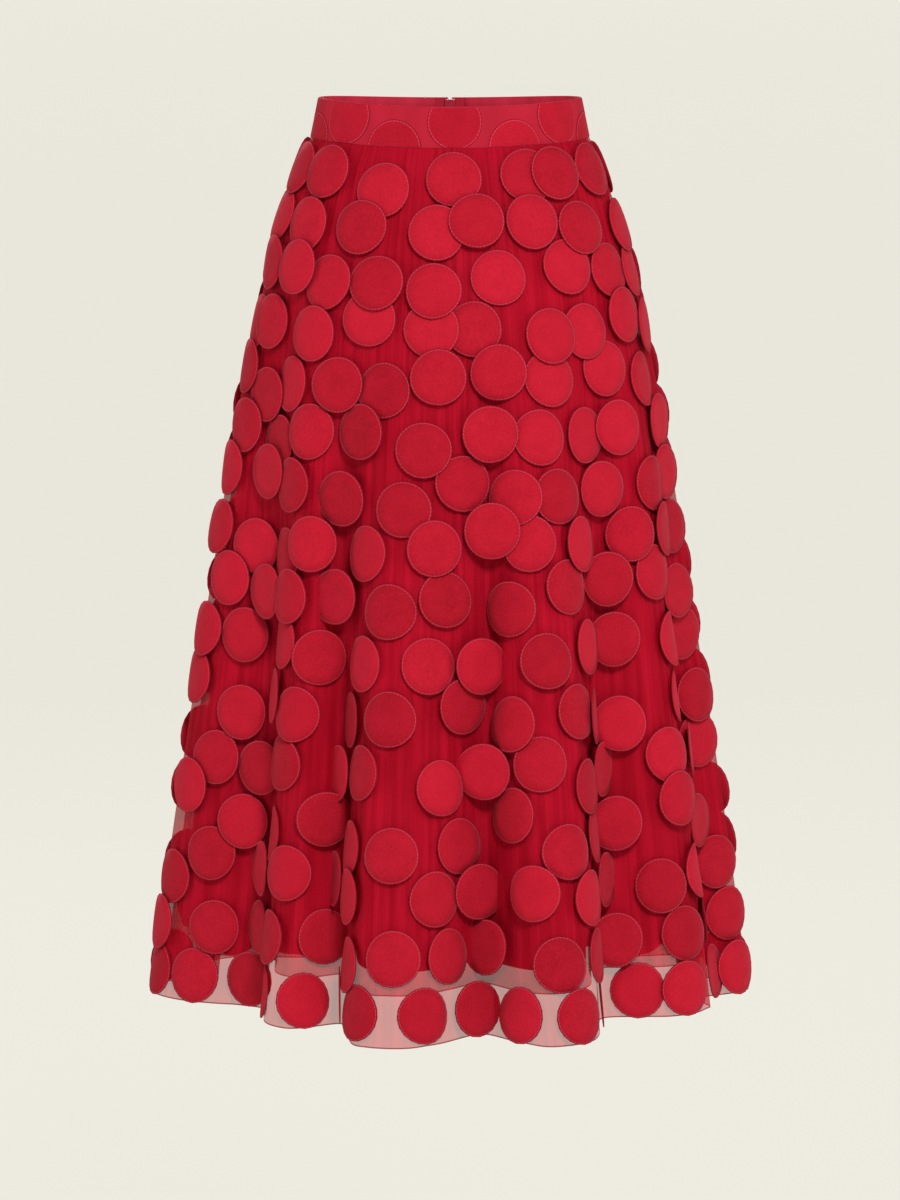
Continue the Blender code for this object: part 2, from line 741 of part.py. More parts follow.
def pull_outline():
    """The tab's outline below its pin: a narrow neck that widens to a round end."""
    end = -PULL_LENGTH + PULL_END_RADIUS
    half = [(PULL_NECK_WIDTH / 2, PULL_HEAD), (PULL_NECK_WIDTH / 2, -PULL_NECK)]
    steps = 8
    for step in range(steps + 1):
        turn = math.radians(10) - step / steps * math.radians(100)
        half.append((PULL_END_RADIUS * math.cos(turn), end + PULL_END_RADIUS * math.sin(turn)))
    return half + [(-x, z) for x, z in reversed(half[:-1])]


def make_pull(frame):
    """The pull tab: a flat drop with a cross pin held in the slider's ears, hanging plumb."""
    holder = bpy.data.objects.new("pull_pin", None)
    bpy.context.scene.collection.objects.link(holder)
    holder.parent = frame
    holder.location = (0, PIN_Y, PIN_Z)
    holder.rotation_euler = (-frame.rotation_euler.x, 0, 0)
    bm = bmesh.new()
    outline = [bm.verts.new((x, -PULL_THICK / 2, z)) for x, z in pull_outline()]
    face = bm.faces.new(outline)
    grown_faces = bmesh.ops.extrude_face_region(bm, geom=[face])
    moved = [item for item in grown_faces["geom"] if isinstance(item, bmesh.types.BMVert)]
    bmesh.ops.translate(bm, vec=(0, PULL_THICK, 0), verts=moved)
    pull = add_object("zip_pull_tab", bm)
    pull.parent = holder
    pin_length = HEAD_WIDTH - 2 * PIN_END_INSET
    join_to(pull, cross_pin("zip_pull_tab_pin", PIN_RADIUS, pin_length, 0, 0), "UNION", holder)
    bm = bmesh.new()
    bmesh.ops.create_cone(bm, cap_ends=True, segments=PIN_SIDES, radius1=PULL_HOLE_RADIUS,
                          radius2=PULL_HOLE_RADIUS, depth=PULL_THICK * 3)
    bmesh.ops.rotate(bm, cent=(0, 0, 0), matrix=Matrix.Rotation(math.pi / 2, 3, "X"), verts=bm.verts)
    bmesh.ops.translate(bm, vec=(0, 0, -PULL_LENGTH + PULL_END_RADIUS), verts=bm.verts)
    join_to(pull, add_object("zip_pull_tab_hole", bm), "DIFFERENCE", holder)


def make_zip_tapes():
    """Two tapes behind the opening, on the facing's face above and the lining's below."""
    levels = [-BAND_DEPTH + ZIP_TAPE_TOP, SEAM_GAP] + list(PLAIN_LEVELS[1:3]) + [ZIP_DROP - SEAM_GAP]
    near, far = ZIP_GAP / 2, ZIP_GAP / 2 + ZIP_TAPE_WIDTH
    for name, side in (("zip_tape_left", -1), ("zip_tape_right", 1)):
        bm = bmesh.new()
        rings = []
        for level in levels:
            reach = section(level, "half_width") - layer_inset(CENTRE_BACK, level, LINING)
            corners = []
            for distance in (near, far):
                angle = CENTRE_BACK + side * math.degrees(distance / reach)
                point = surface(angle, level, LINING)
                corners.append((point, point + through_wall(angle, level, LINING)))
            order = (corners[0][0], corners[1][0], corners[1][1], corners[0][1])
            rings.append([bm.verts.new(point) for point in order])
        for high, low in zip(rings, rings[1:]):
            for corner in range(4):
                after = (corner + 1) % 4
                bm.faces.new([high[corner], high[after], low[after], low[corner]])
        bm.faces.new(rings[0])
        bm.faces.new(reversed(rings[-1]))
        add_object(name, bm)


def make_band():
    """The band's spotted outside and plain facing."""
    levels = [-BAND_DEPTH, -BAND_DEPTH / 2, 0.0]
    for panel in PANELS:
        spotted_wall("waistband_" + panel.name, panel, BAND, -BAND_DEPTH, 0.0,
                     ZIP_GAP / 2, band_spots(), 2, levels)
        plain_wall("band_facing_" + panel.name, panel, FACING, levels,
                   ZIP_GAP / 2 + ZIP_TAPE_WIDTH + SEAM_GAP, panel_columns(panel)[:-1:2] + [1.0])


def make_skirt():
    """The three layers below the band."""
    spots = fitted_spots(scatter_spots(), OUTER)
    for panel in PANELS:
        columns = panel_columns(panel)
        top = SEAM_GAP
        tops = [top] + list(PLAIN_LEVELS[1:])
        spotted_wall("outer_" + panel.name, panel, OUTER, top, SKIRT_DROP, ZIP_GAP / 2, spots,
                     SPOTTED_ROWS, tops + [SKIRT_DROP])
        plain_wall("under_tulle_" + panel.name, panel, UNDER,
                   tops + [SKIRT_DROP - UNDER.shorter], ZIP_GAP / 2, columns)
        plain_wall("lining_" + panel.name, panel, LINING,
                   [top, *LINING_LEVELS, SKIRT_DROP - LINING.shorter],
                   ZIP_GAP / 2 + ZIP_TAPE_WIDTH + SEAM_GAP, columns)


for old in list(bpy.data.objects):
    bpy.data.objects.remove(old)
make_band()
make_skirt()
make_zip_tapes()
zip_place = zip_frame()
make_slider(zip_place)
make_pull(zip_place)
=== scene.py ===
"""Looks of the tulle skirt: sheer spotted tulle over a second tulle and a satin lining.

Metres, +Z up, the front faces -Y. Angles go round from the front (0) by the wearer's left
side (90) to centre back (180). Drops are measured down from the band seam.
"""
import bisect
import json
import math
import random
from collections import namedtuple

import bmesh
import bpy
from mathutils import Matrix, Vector, kdtree

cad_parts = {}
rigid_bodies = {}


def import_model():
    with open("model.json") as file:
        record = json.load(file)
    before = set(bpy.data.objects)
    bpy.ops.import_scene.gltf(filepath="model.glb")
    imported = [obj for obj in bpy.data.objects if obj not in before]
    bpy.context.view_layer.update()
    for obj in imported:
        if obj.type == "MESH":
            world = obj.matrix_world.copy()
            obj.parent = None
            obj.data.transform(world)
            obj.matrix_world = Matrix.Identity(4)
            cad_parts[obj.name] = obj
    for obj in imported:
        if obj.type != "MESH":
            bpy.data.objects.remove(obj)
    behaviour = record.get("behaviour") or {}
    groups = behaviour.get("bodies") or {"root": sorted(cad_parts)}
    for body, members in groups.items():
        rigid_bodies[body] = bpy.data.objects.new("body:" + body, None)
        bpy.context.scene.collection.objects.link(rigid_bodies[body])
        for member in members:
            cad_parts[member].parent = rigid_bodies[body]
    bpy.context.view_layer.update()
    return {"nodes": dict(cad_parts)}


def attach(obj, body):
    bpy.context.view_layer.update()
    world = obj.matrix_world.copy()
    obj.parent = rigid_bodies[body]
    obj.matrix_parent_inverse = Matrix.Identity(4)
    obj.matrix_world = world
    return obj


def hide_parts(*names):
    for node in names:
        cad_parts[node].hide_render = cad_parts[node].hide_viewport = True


for old in list(bpy.data.objects):
    bpy.data.objects.remove(old)
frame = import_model()

# Lining
# A red satin lining cut in three panels with the skirt's own flare. It hangs inside the two
# tulles, is the only opaque layer, and ends well above their hems in a narrow turned hem.
BAND_DEPTH = 0.036
SKIRT_DROP = 0.774
WAIST_DIP = 0.0045

# The outline's half width and half depth at each drop
Section = namedtuple("Section", "drop half_width half_depth")
SECTIONS = (
    Section(-0.036, 0.1170, 0.0890),
    Section(0.000, 0.1243, 0.0945),
    Section(0.024, 0.1350, 0.1040),
    Section(0.100, 0.1586, 0.1270),
    Section(0.237, 0.1890, 0.1600),
    Section(0.391, 0.2144, 0.1900),
    Section(0.602, 0.2480, 0.2310),
    Section(0.774, 0.2725, 0.2630),
)
BAND_SEAM = 1

# Insets are measured in from the outline at the hem, start is the drop where a fold begins,
# lean is how many degrees further round its valley lies at the top
Fold = namedtuple("Fold", "crest crest_inset valley valley_inset start lean")
FOLDS = (
    Fold(-90, 0.000, -60, 0.080, 0.10, 0),
    Fold(-40, 0.042, -31, 0.084, 0.14, -2),
    Fold(-13, 0.006, 8, 0.066, 0.13, 8),
    Fold(21, 0.003, 45, 0.079, 0.12, 3),
    Fold(66, 0.024, 77, 0.042, 0.12, 0),
    Fold(90, 0.000, 105, 0.055, 0.10, 0),
    Fold(119, 0.010, 134, 0.074, 0.13, -3),
    Fold(149, 0.020, 163, 0.068, 0.15, 0),
    Fold(178, 0.006, 193, 0.062, 0.16, 2),
    Fold(208, 0.014, 224, 0.080, 0.12, 4),
    Fold(242, 0.022, 256, 0.052, 0.12, 0),
)
FOLD_GROWTH = 1.2
GAP_GROWTH = 0.7
CREST_ROUNDNESS = 1.25
FOLD_DRAW = 0.6
FIRST_FOLD = min(fold.start for fold in FOLDS)
DEEPEST_FOLD = max(fold.valley_inset for fold in FOLDS)

# Shorter is how far a layer ends above the outer hem, the gaps are how far inside the outer tulle
# it lies, keep is its share of each fold's depth, creases its share of their height, turned how
# many degrees round they lie, and draw how much deeper its folds are half way down
Layer = namedtuple("Layer", "shorter gap_top gap_hem keep creases turned draw",
                   defaults=(FOLD_DRAW,))
LINING = Layer(0.062, 0.0034, 0.0150, 0.94, 0.55, 6)

Panel = namedtuple("Panel", "name start end")
PANELS = (
    Panel("front", -90, 90),
    Panel("back_left", 90, 180),
    Panel("back_right", 180, 270),
)
CENTRE_BACK = 180

# Main creases, listed one by one: they rise from top to peak and fade by end. Drift is how far
# round they wander on the way down, height is out from the cloth or into it.
CREASE_REACH = 3
Crease = namedtuple("Crease", "angle drift top peak end height width")
CREASES = [Crease(*row) for row in (
    # gathers under the band
    (-84, 2, 0.0, 0.020, 0.105, 0.0018, 1.9),
    (-72, 1, 0.0, 0.030, 0.160, 0.0024, 2.1),
    (-61, -1, 0.0, 0.018, 0.080, 0.0015, 1.6),
    (-49, -2, 0.0, 0.026, 0.140, 0.0021, 1.9),
    (-36, 1, 0.0, 0.024, 0.075, 0.0030, 1.5),
    (-25, 1, 0.0, 0.034, 0.190, 0.0020, 2.0),
    (-16, -1, 0.0, 0.016, 0.065, 0.0016, 1.3),
    (-7, 0, 0.0, 0.030, 0.120, 0.0019, 1.8),
    (4, 0, 0.0, 0.014, 0.050, 0.0032, 1.3),
    (13, 2, 0.0, 0.028, 0.150, 0.0018, 1.9),
    (24, 1, 0.0, 0.020, 0.085, 0.0024, 1.5),
    (33, 2, 0.0, 0.036, 0.210, 0.0019, 2.1),
    (44, 1, 0.0, 0.018, 0.070, 0.0020, 1.5),
    (55, 3, 0.0, 0.030, 0.170, 0.0023, 2.0),
    (67, 2, 0.0, 0.020, 0.095, 0.0017, 1.7),
    (79, 1, 0.0, 0.026, 0.130, 0.0021, 1.9),
    (97, 0, 0.0, 0.022, 0.110, 0.0019, 1.8),
    (108, 2, 0.0, 0.032, 0.180, 0.0023, 2.1),
    (120, 1, 0.0, 0.018, 0.075, 0.0018, 1.5),
    (131, -1, 0.0, 0.028, 0.145, 0.0024, 1.9),
    (143, 1, 0.0, 0.020, 0.090, 0.0017, 1.6),
    (154, 2, 0.0, 0.034, 0.200, 0.0021, 2.0),
    (166, 0, 0.0, 0.020, 0.080, 0.0022, 1.6),
    (194, -1, 0.0, 0.024, 0.115, 0.0020, 1.7),
    (205, 1, 0.0, 0.034, 0.185, 0.0024, 2.0),
    (217, 0, 0.0, 0.018, 0.070, 0.0017, 1.5),
    (229, 2, 0.0, 0.028, 0.150, 0.0022, 1.9),
    (240, 1, 0.0, 0.020, 0.090, 0.0018, 1.6),
    (252, -2, 0.0, 0.030, 0.165, 0.0021, 2.0),
    (263, 0, 0.0, 0.018, 0.085, 0.0019, 1.7),
    # long soft troughs and ridges between the folds
    (-78, 4, 0.18, 0.45, 0.90, 0.0050, 2.6),
    (-69, 2, 0.35, 0.60, 1.00, -0.0045, 1.8),
    (-52, -1, 0.22, 0.38, 0.66, 0.0042, 2.0),
    (-22, 3, 0.16, 0.34, 0.62, -0.0036, 1.8),
    (-18, -2, 0.40, 0.70, 1.10, 0.0052, 1.9),
    (-5, 1, 0.30, 0.58, 1.00, -0.0046, 1.6),
    (2, 3, 0.14, 0.30, 0.55, 0.0040, 1.9),
    (15, 1, 0.44, 0.72, 1.10, -0.0048, 1.5),
    (28, 2, 0.20, 0.46, 0.92, 0.0056, 2.2),
    (36, 2, 0.36, 0.66, 1.05, -0.0044, 1.7),
    (56, 1, 0.24, 0.50, 0.98, 0.0048, 2.1),
    (70, -1, 0.42, 0.70, 1.10, 0.0038, 1.6),
    (84, 1, 0.20, 0.40, 0.75, -0.0036, 1.9),
    (97, 2, 0.30, 0.62, 1.05, 0.0046, 2.0),
    (112, -2, 0.18, 0.42, 0.80, -0.0044, 2.1),
    (125, 1, 0.38, 0.68, 1.10, 0.0052, 1.8),
    (142, 2, 0.22, 0.48, 0.96, 0.0046, 2.2),
    (156, -1, 0.40, 0.72, 1.10, -0.0044, 1.7),
    (170, 1, 0.26, 0.52, 0.94, 0.0040, 1.9),
    (185, 1, 0.36, 0.66, 1.05, -0.0042, 1.7),
    (200, -2, 0.20, 0.44, 0.88, 0.0050, 2.1),
    (215, 2, 0.34, 0.62, 1.05, -0.0046, 1.8),
    (233, 1, 0.18, 0.40, 0.82, 0.0044, 2.2),
    (249, -1, 0.40, 0.70, 1.10, 0.0048, 1.7),
    (262, 2, 0.24, 0.50, 0.95, -0.0040, 2.0),
)]


def mix(low, high, share):
    return low + (high - low) * share


def share_down(drop):
    """0 at the band seam and above, 1 at the outer hem."""
    return min(max(drop / SKIRT_DROP, 0.0), 1.0)


def section_slope(index, column):
    """Slope of a column of the section table at one of the skirt's rows."""
    before = max(index - 1, BAND_SEAM)
    after = min(index + 1, len(SECTIONS) - 1)
    rise = getattr(SECTIONS[after], column) - getattr(SECTIONS[before], column)
    return rise / (SECTIONS[after].drop - SECTIONS[before].drop)


SECTION_DROPS = [row.drop for row in SECTIONS]


def section(drop, column):
    """One column of the section table: straight down the band, a smooth curve below it."""
    index = min(max(bisect.bisect_right(SECTION_DROPS, drop) - 1, 0), len(SECTIONS) - 2)
    span = SECTION_DROPS[index + 1] - SECTION_DROPS[index]
    t = (drop - SECTION_DROPS[index]) / span
    start = getattr(SECTIONS[index], column)
    end = getattr(SECTIONS[index + 1], column)
    if index < BAND_SEAM:
        return mix(start, end, t)
    start_slope = section_slope(index, column) * span
    end_slope = section_slope(index + 1, column) * span
    return ((2 * t ** 3 - 3 * t ** 2 + 1) * start + (t ** 3 - 2 * t ** 2 + t) * start_slope
            + (3 * t ** 2 - 2 * t ** 3) * end + (t ** 3 - t ** 2) * end_slope)


Knot = namedtuple("Knot", "angle inset start lean is_crest")
KNOTS = []
for fold in FOLDS:
    KNOTS.append(Knot(fold.crest, fold.crest_inset, fold.start, 0, True))
    KNOTS.append(Knot(fold.valley, fold.valley_inset, fold.start, fold.lean, False))
KNOTS.append(KNOTS[0]._replace(angle=KNOTS[0].angle + 360))
KNOT_ANGLES = [knot.angle for knot in KNOTS]


def knots_beside(angle):
    """The crest and the valley on either side, and 0 at the crest to 1 at the valley."""
    angle = KNOT_ANGLES[0] + (angle - KNOT_ANGLES[0]) % 360
    index = min(bisect.bisect_right(KNOT_ANGLES, angle) - 1, len(KNOTS) - 2)
    here, after = KNOTS[index], KNOTS[index + 1]
    along = (angle - here.angle) / (after.angle - here.angle)
    if here.is_crest:
        return here, after, along
    return after, here, 1 - along


def grown(drop, start):
    """How much of its hem depth a fold has at this drop."""
    if drop <= start:
        return 0.0
    return ((drop - start) / (SKIRT_DROP - start)) ** FOLD_GROWTH


def fold_inset(angle, drop, draw):
    """How far the outer tulle falls inside its outline."""
    _, valley, along = knots_beside(angle)
    angle = angle - valley.lean * along * along * (1 - share_down(drop))
    crest, valley, along = knots_beside(angle)
    share = 0.5 - 0.5 * math.cos(math.pi * along ** CREST_ROUNDNESS)
    growth = grown(drop, mix(crest.start, valley.start, share))
    return mix(crest.inset, valley.inset, share) * growth * (1 + draw * (1 - growth))


def crease_height(angle, drop, layer):
    """How far the creases carry a layer out at this place."""
    total = 0.0
    for crease in CREASES:
        if not crease.top < drop < crease.end:
            continue
        away = angle - layer.turned - crease.angle - crease.drift * (drop - crease.top)
        away = (away + 180) % 360 - 180
        if abs(away) > CREASE_REACH * crease.width:
            continue
        if drop < crease.peak:
            rise = (drop - crease.top) / (crease.peak - crease.top)
        else:
            rise = (crease.end - drop) / (crease.end - crease.peak)
        bell = math.exp(-(away / crease.width) ** 2)
        total += crease.height * bell * (0.5 - 0.5 * math.cos(math.pi * rise))
    return total * layer.creases


def surface(angle, drop, layer):
    """A point on a layer of cloth, without its creases."""
    turn = math.radians(angle)
    gap = mix(layer.gap_top, layer.gap_hem, share_down(drop) ** GAP_GROWTH)
    fold = fold_inset(angle, drop, layer.draw)
    flatter = (1 - layer.keep) * (DEEPEST_FOLD * grown(drop, FIRST_FOLD) - fold)
    inset = gap + fold + flatter
    dip = WAIST_DIP * math.cos(turn) ** 2 * (1 - share_down(drop))
    return Vector((
        (section(drop, "half_width") - inset) * math.sin(turn),
        -(section(drop, "half_depth") - inset) * math.cos(turn),
        -BAND_DEPTH / 2 - drop - dip,
    ))


OPENING_CLOSES_OVER = 0.012


def opened_edges(panel, drop, opening, opened_to):
    """The panel's two edges at this drop, in degrees, with the zip's opening taken off."""
    edges = []
    for edge, inward in ((panel.start, 1), (panel.end, -1)):
        gap = 0.0
        if edge == CENTRE_BACK:
            closing = max(drop - opened_to, 0.0) / OPENING_CLOSES_OVER
            gap = opening * max(1 - closing, 0.0)
        edges.append(edge + inward * math.degrees(gap / section(drop, "half_width")))
    return edges


def linear(hex_colour):
    """Turn an sRGB hex colour into linear RGBA."""
    channels = [int(hex_colour[i:i + 2], 16) / 255 for i in (0, 2, 4)]
    return [c / 12.92 if c <= 0.04045 else ((c + 0.055) / 1.055) ** 2.4 for c in channels] + [1.0]


def fill(tree, node, inputs):
    """Set a node's sockets: a value is written in, and another node's output is linked."""
    for socket, value in inputs.items():
        if isinstance(value, bpy.types.NodeSocket):
            tree.links.new(value, node.inputs[socket])
        else:
            node.inputs[socket].default_value = value


def add(tree, kind, inputs=None, **settings):
    """Add a node with its settings, its values and its links."""
    node = tree.nodes.new("ShaderNode" + kind)
    for name, value in settings.items():
        setattr(node, name, value)
    fill(tree, node, inputs or {})
    return node


def new_material(name):
    """A new material, with its node tree and its shader."""
    material = bpy.data.materials.new(name)
    material.use_nodes = True
    return material, material.node_tree, material.node_tree.nodes["Principled BSDF"]


# A wave texture of scale 1 has one band in this length
WAVE_PERIOD = math.tau / 20
STREAK_STRETCH = 0.04
THREAD_RELIEF = 0.05
STREAK_RELIEF = 0.0018
ROUGHNESS_SPREAD = 0.08


def woven_material(name, light, dark, thread, streak, roughness, bump, alpha=1.0, specular=0.12):
    """Woven cloth on a UV in metres: threads both ways, and soft streaks that run down it.

    Thread is the spacing of the threads and streak the width of the streaks, in metres.
    """
    material, tree, shader = new_material(name)
    place = add(tree, "UVMap", uv_map="Cloth").outputs["UV"]
    warp, weft = [
        add(tree, "TexWave",
            {"Vector": place, "Scale": WAVE_PERIOD / thread, "Distortion": 0.6, "Detail": 1.0},
            bands_direction=direction).outputs["Fac"] for direction in ("X", "Y")
    ]
    threads = add(tree, "Math", {0: warp, 1: weft}, operation="MULTIPLY")
    long = add(tree, "Mapping", {"Vector": place, "Scale": (1 / streak, STREAK_STRETCH / streak, 1)})
    streaks = add(tree, "TexNoise",
                  {"Vector": long.outputs["Vector"], "Scale": 1.0, "Detail": 2.0}).outputs["Fac"]
    wide = add(tree, "TexNoise", {"Vector": place, "Scale": 9.0, "Detail": 2.0})
    tones = add(tree, "Math", {0: wide.outputs["Fac"], 1: 0.4, 2: streaks},
                operation="MULTIPLY_ADD")
    share = add(tree, "MapRange", {"Value": tones.outputs[0], "From Min": 0.52, "From Max": 0.88})
    colour = add(tree, "Mix",
                 {0: share.outputs["Result"], 6: linear(dark), 7: linear(light)}, data_type="RGBA")
    rough = add(tree, "MapRange", {"Value": streaks, "To Min": roughness - ROUGHNESS_SPREAD,
                                   "To Max": roughness + ROUGHNESS_SPREAD})
    height = add(tree, "Math", {0: threads.outputs[0], 1: THREAD_RELIEF, 2: streaks},
                 operation="MULTIPLY_ADD")
    relief = add(tree, "Bump", {"Height": height.outputs[0], "Strength": bump,
                                "Distance": STREAK_RELIEF})
    fill(tree, shader, {
        "Base Color": colour.outputs[2],
        "Roughness": rough.outputs["Result"],
        "Normal": relief.outputs["Normal"],
        "Specular IOR Level": specular,
        "Sheen Weight": 0.06,
        "Sheen Roughness": 0.5,
        "Sheen Tint": linear(light),
        "Alpha": alpha,
    })
    return material


def outwards(angle):
    """The level direction that faces away from the wearer at this angle."""
    return Vector((math.sin(math.radians(angle)), -math.cos(math.radians(angle)), 0))


# Each piece's widest row and longest column, and how wide its weave is laid out for its length
WEAVE_WIDTH = 1.2


def hang_panel(name, panel, layer, top, bottom, across, down, opening=0.0, opened_to=0.0,
               edge_row=0.0, calm=None):
    """A grid of cloth laid on its layer, with a UV in metres and a narrow last row at its hem."""
    bm = bmesh.new()
    bmesh.ops.create_grid(bm, x_segments=across, y_segments=down, size=0.5)
    uv = bm.loops.layers.uv.new("Cloth")
    width = WEAVE_WIDTH * (bottom - top)
    rows = {}
    for vert in bm.verts:
        share = vert.co.x + 0.5
        step = round((0.5 - vert.co.y) * down)
        rows.setdefault(step, []).append((share, vert))
    flat = {}
    even_rows = down - 1 if edge_row else down
    for step, row in rows.items():
        drop = bottom if step == down else mix(top, bottom - edge_row, step / even_rows)
        low, high = opened_edges(panel, drop, opening, opened_to)
        row.sort(key=lambda item: item[0])
        for share, vert in row:
            angle = mix(low, high, share)
            vert.co = surface(angle, drop, layer)
            height = crease_height(angle, drop, layer) * (calm(vert.co) if calm else 1.0)
            vert.co += height * outwards(angle)
            flat[vert] = (share * width, -drop)
    for face in bm.faces:
        face.smooth = True
        for loop in face.loops:
            loop[uv].uv = flat[loop.vert]
        if edge_row and all(-flat[vert][1] > bottom - edge_row * 1.5 for vert in face.verts):
            face.material_index = 1
    bm.normal_update()
    angle = (panel.start + panel.end) / 2
    centre = surface(angle, (top + bottom) / 2, layer)
    middle = min(bm.faces, key=lambda face: (face.calc_center_median() - centre).length)
    if middle.normal.dot(outwards(angle)) < 0:
        bmesh.ops.reverse_faces(bm, faces=bm.faces[:])
    return make_piece(name, bm)


def finished_mesh(name, bm):
    mesh = bpy.data.meshes.new(name)
    bm.to_mesh(mesh)
    bm.free()
    return mesh


def placed(name, data):
    """An object in the scene, from a mesh, a lamp or a camera."""
    thing = bpy.data.objects.new(name, data)
    bpy.context.scene.collection.objects.link(thing)
    return thing


def make_piece(name, bm):
    """Turn a mesh into a piece that rides with the skirt."""
    piece = placed(name, finished_mesh(name, bm))
    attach(piece, "skirt")
    return piece


def dress(piece, slot, *materials):
    """Give a piece its materials, in the order of its faces' numbers. Its slot is not used."""
    for material in materials:
        piece.data.materials.append(material)


def thicken(piece, wall):
    """Give a sheet its thickness, inwards from its face."""
    shell = piece.modifiers.new("wall", "SOLIDIFY")
    shell.thickness = wall
    shell.offset = -1


# polyester satin: smooth face, a soft shine down the folds
satin = woven_material("satin_lining", "A00218", "800010", thread=0.0016, streak=0.007,
                       roughness=0.5, bump=0.5, specular=0.25)
LINING_WALL = 0.0006
ZIP_GAP = 0.0032
ZIP_TAPE_WIDTH = 0.012
ZIP_DROP = 0.180
for panel in PANELS:
    lining = hang_panel("lining_satin_" + panel.name, panel, LINING,
                        top=0.0, bottom=SKIRT_DROP - LINING.shorter,
                        across=panel.end - panel.start, down=80,
                        opening=ZIP_GAP / 2 + ZIP_TAPE_WIDTH, opened_to=ZIP_DROP)
    thicken(lining, LINING_WALL)
    dress(lining, "lining", satin)
    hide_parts("lining_" + panel.name)

# Second tulle
# A plain layer of the same soft net between the lining and the spotted tulle, cut 43 mm
# shorter than that. It deepens the red and shows as a second line above the outer hem.
UNDER = Layer(0.043, 0.0020, 0.0080, 0.97, 0.5, 3)
HEM_EDGE = 0.0012
# nylon tulle: sheer, with no shine; its threads are drawn wide enough to show
NET_THREAD = 0.0022
plain_tulle = woven_material("plain_tulle", "BE0E28", "980418", thread=NET_THREAD, streak=0.0090,
                             roughness=0.8, bump=0.35, alpha=0.60, specular=0.06)
plain_tulle_edge = woven_material("plain_tulle_edge", "941024", "6E0412", thread=NET_THREAD,
                                  streak=0.0060, roughness=0.8, bump=0.3, alpha=0.85)
for panel in PANELS:
    under = hang_panel("tulle_plain_" + panel.name, panel, UNDER,
                       top=0.0, bottom=SKIRT_DROP - UNDER.shorter,
                       across=round((panel.end - panel.start) * 1.2), down=90,
                       opening=ZIP_GAP / 2, opened_to=ZIP_DROP, edge_row=HEM_EDGE)
    dress(under, "under_tulle", plain_tulle, plain_tulle_edge)
    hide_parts("under_tulle_" + panel.name)

# Outer tulle
# Soft sheer nylon tulle, lightly gathered into the band and falling in eleven deep folds to
# a raw cut hem. It carries the appliques, so between them it is one thin see-through layer.
OUTER = Layer(0.0, 0.0, 0.0, 1.0, 1.0, 0)
# The solids' raised discs, whose places the appliques share. Nearest is from centre to centre,
# the row ratio is a row's step down in spacings, and wander is in spacings too.
SPOT_RADIUS = 0.0225
SPOT_SPACING_TOP = 0.0485
SPOT_SPACING_HEM = 0.0610
SPOT_NEAREST_TOP = 0.0400
SPOT_NEAREST_HEM = 0.0465
SPOT_ROW_RATIO = 0.90
SPOT_WANDER = 0.24
SPOT_EDGE = 0.0015
SPOT_SPREADING_PASSES = 14
SPOT_SEED = 11


def slopes(angle, drop, layer):
    """How a point on the cloth moves per degree round and per metre down."""
    small_turn = 0.05
    small_drop = 0.0002
    round_it = surface(angle + small_turn, drop, layer) - surface(angle - small_turn, drop, layer)
    down_it = surface(angle, drop + small_drop, layer) - surface(angle, drop - small_drop, layer)
    return round_it / (2 * small_turn), down_it / (2 * small_drop)


def walk(angle, drop, direction, distance, layer, steps=4):
    """Go a distance over the cloth and return the angle and drop that it leads to."""
    for _ in range(steps):
        per_degree, per_metre = slopes(angle, drop, layer)
        normal = per_metre.cross(per_degree).normalized()
        direction = (direction - normal * direction.dot(normal)).normalized()
        step = direction * (distance / steps)
        a, b, c = per_degree.dot(per_degree), per_degree.dot(per_metre), per_metre.dot(per_metre)
        p, q = per_degree.dot(step), per_metre.dot(step)
        scale = a * c - b * b
        angle += (p * c - q * b) / scale
        drop += (q * a - p * b) / scale
    return angle, drop


def row_angles(drop, count, shift, layer):
    """Angles that part a level line on the cloth into equal lengths."""
    fine = 3
    angles = [step * fine for step in range(360 // fine + 1)]
    points = [surface(angle, drop, layer) for angle in angles]
    run = [0.0]
    for here, after in zip(points, points[1:]):
        run.append(run[-1] + (after - here).length)
    found = []
    for index in range(count):
        want = (index + shift) % count / count * run[-1]
        at = min(bisect.bisect_right(run, want) - 1, len(angles) - 2)
        found.append(angles[at] + fine * (want - run[at]) / (run[at + 1] - run[at]))
    return found


def line_length(drop, low, high, layer):
    """Length of the cloth along a level line between two angles."""
    steps = 120
    points = [surface(mix(low, high, step / steps), drop, layer) for step in range(steps + 1)]
    return sum((after - here).length for here, after in zip(points, points[1:]))


FIRST_ANGLE = PANELS[0].start


def wrapped(angle):
    """The same place round the skirt, between the first panel's start and the last one's end."""
    return FIRST_ANGLE + (angle - FIRST_ANGLE) % 360


def panel_at(angle):
    return next(panel for panel in PANELS if panel.start <= wrapped(angle) <= panel.end)


def kept_off_seams(angle, drop, clear, layer):
    """Move an applique's centre just far enough from a seam to lie on one panel."""
    panel = panel_at(angle)
    angle = wrapped(angle)
    for edge, inward in ((panel.start, 1), (panel.end, -1)):
        direction = slopes(edge, drop, layer)[0] * inward
        nearest, _ = walk(edge, drop, direction, clear, layer)
        if (angle - nearest) * inward < 0:
            angle = nearest
    return angle


def push_apart(angles, drops, points, layer):
    """Move appliques that crowd each other a little way apart."""
    for first in range(len(angles)):
        for second in range(first + 1, len(angles)):
            if drops[second] - drops[first] > 2 * SPOT_RADIUS + SPOT_SPACING_HEM:
                break
            nearest = mix(SPOT_NEAREST_TOP, SPOT_NEAREST_HEM, share_down(drops[first]))
            between = points[second] - points[first]
            if between.length >= nearest:
                continue
            push = between.normalized() * (nearest - between.length) / 2
            for index, move in ((first, -push), (second, push)):
                per_degree, per_metre = slopes(angles[index], drops[index], layer)
                angles[index] += move.dot(per_degree) / per_degree.length_squared
                drops[index] += move.dot(per_metre) / per_metre.length_squared


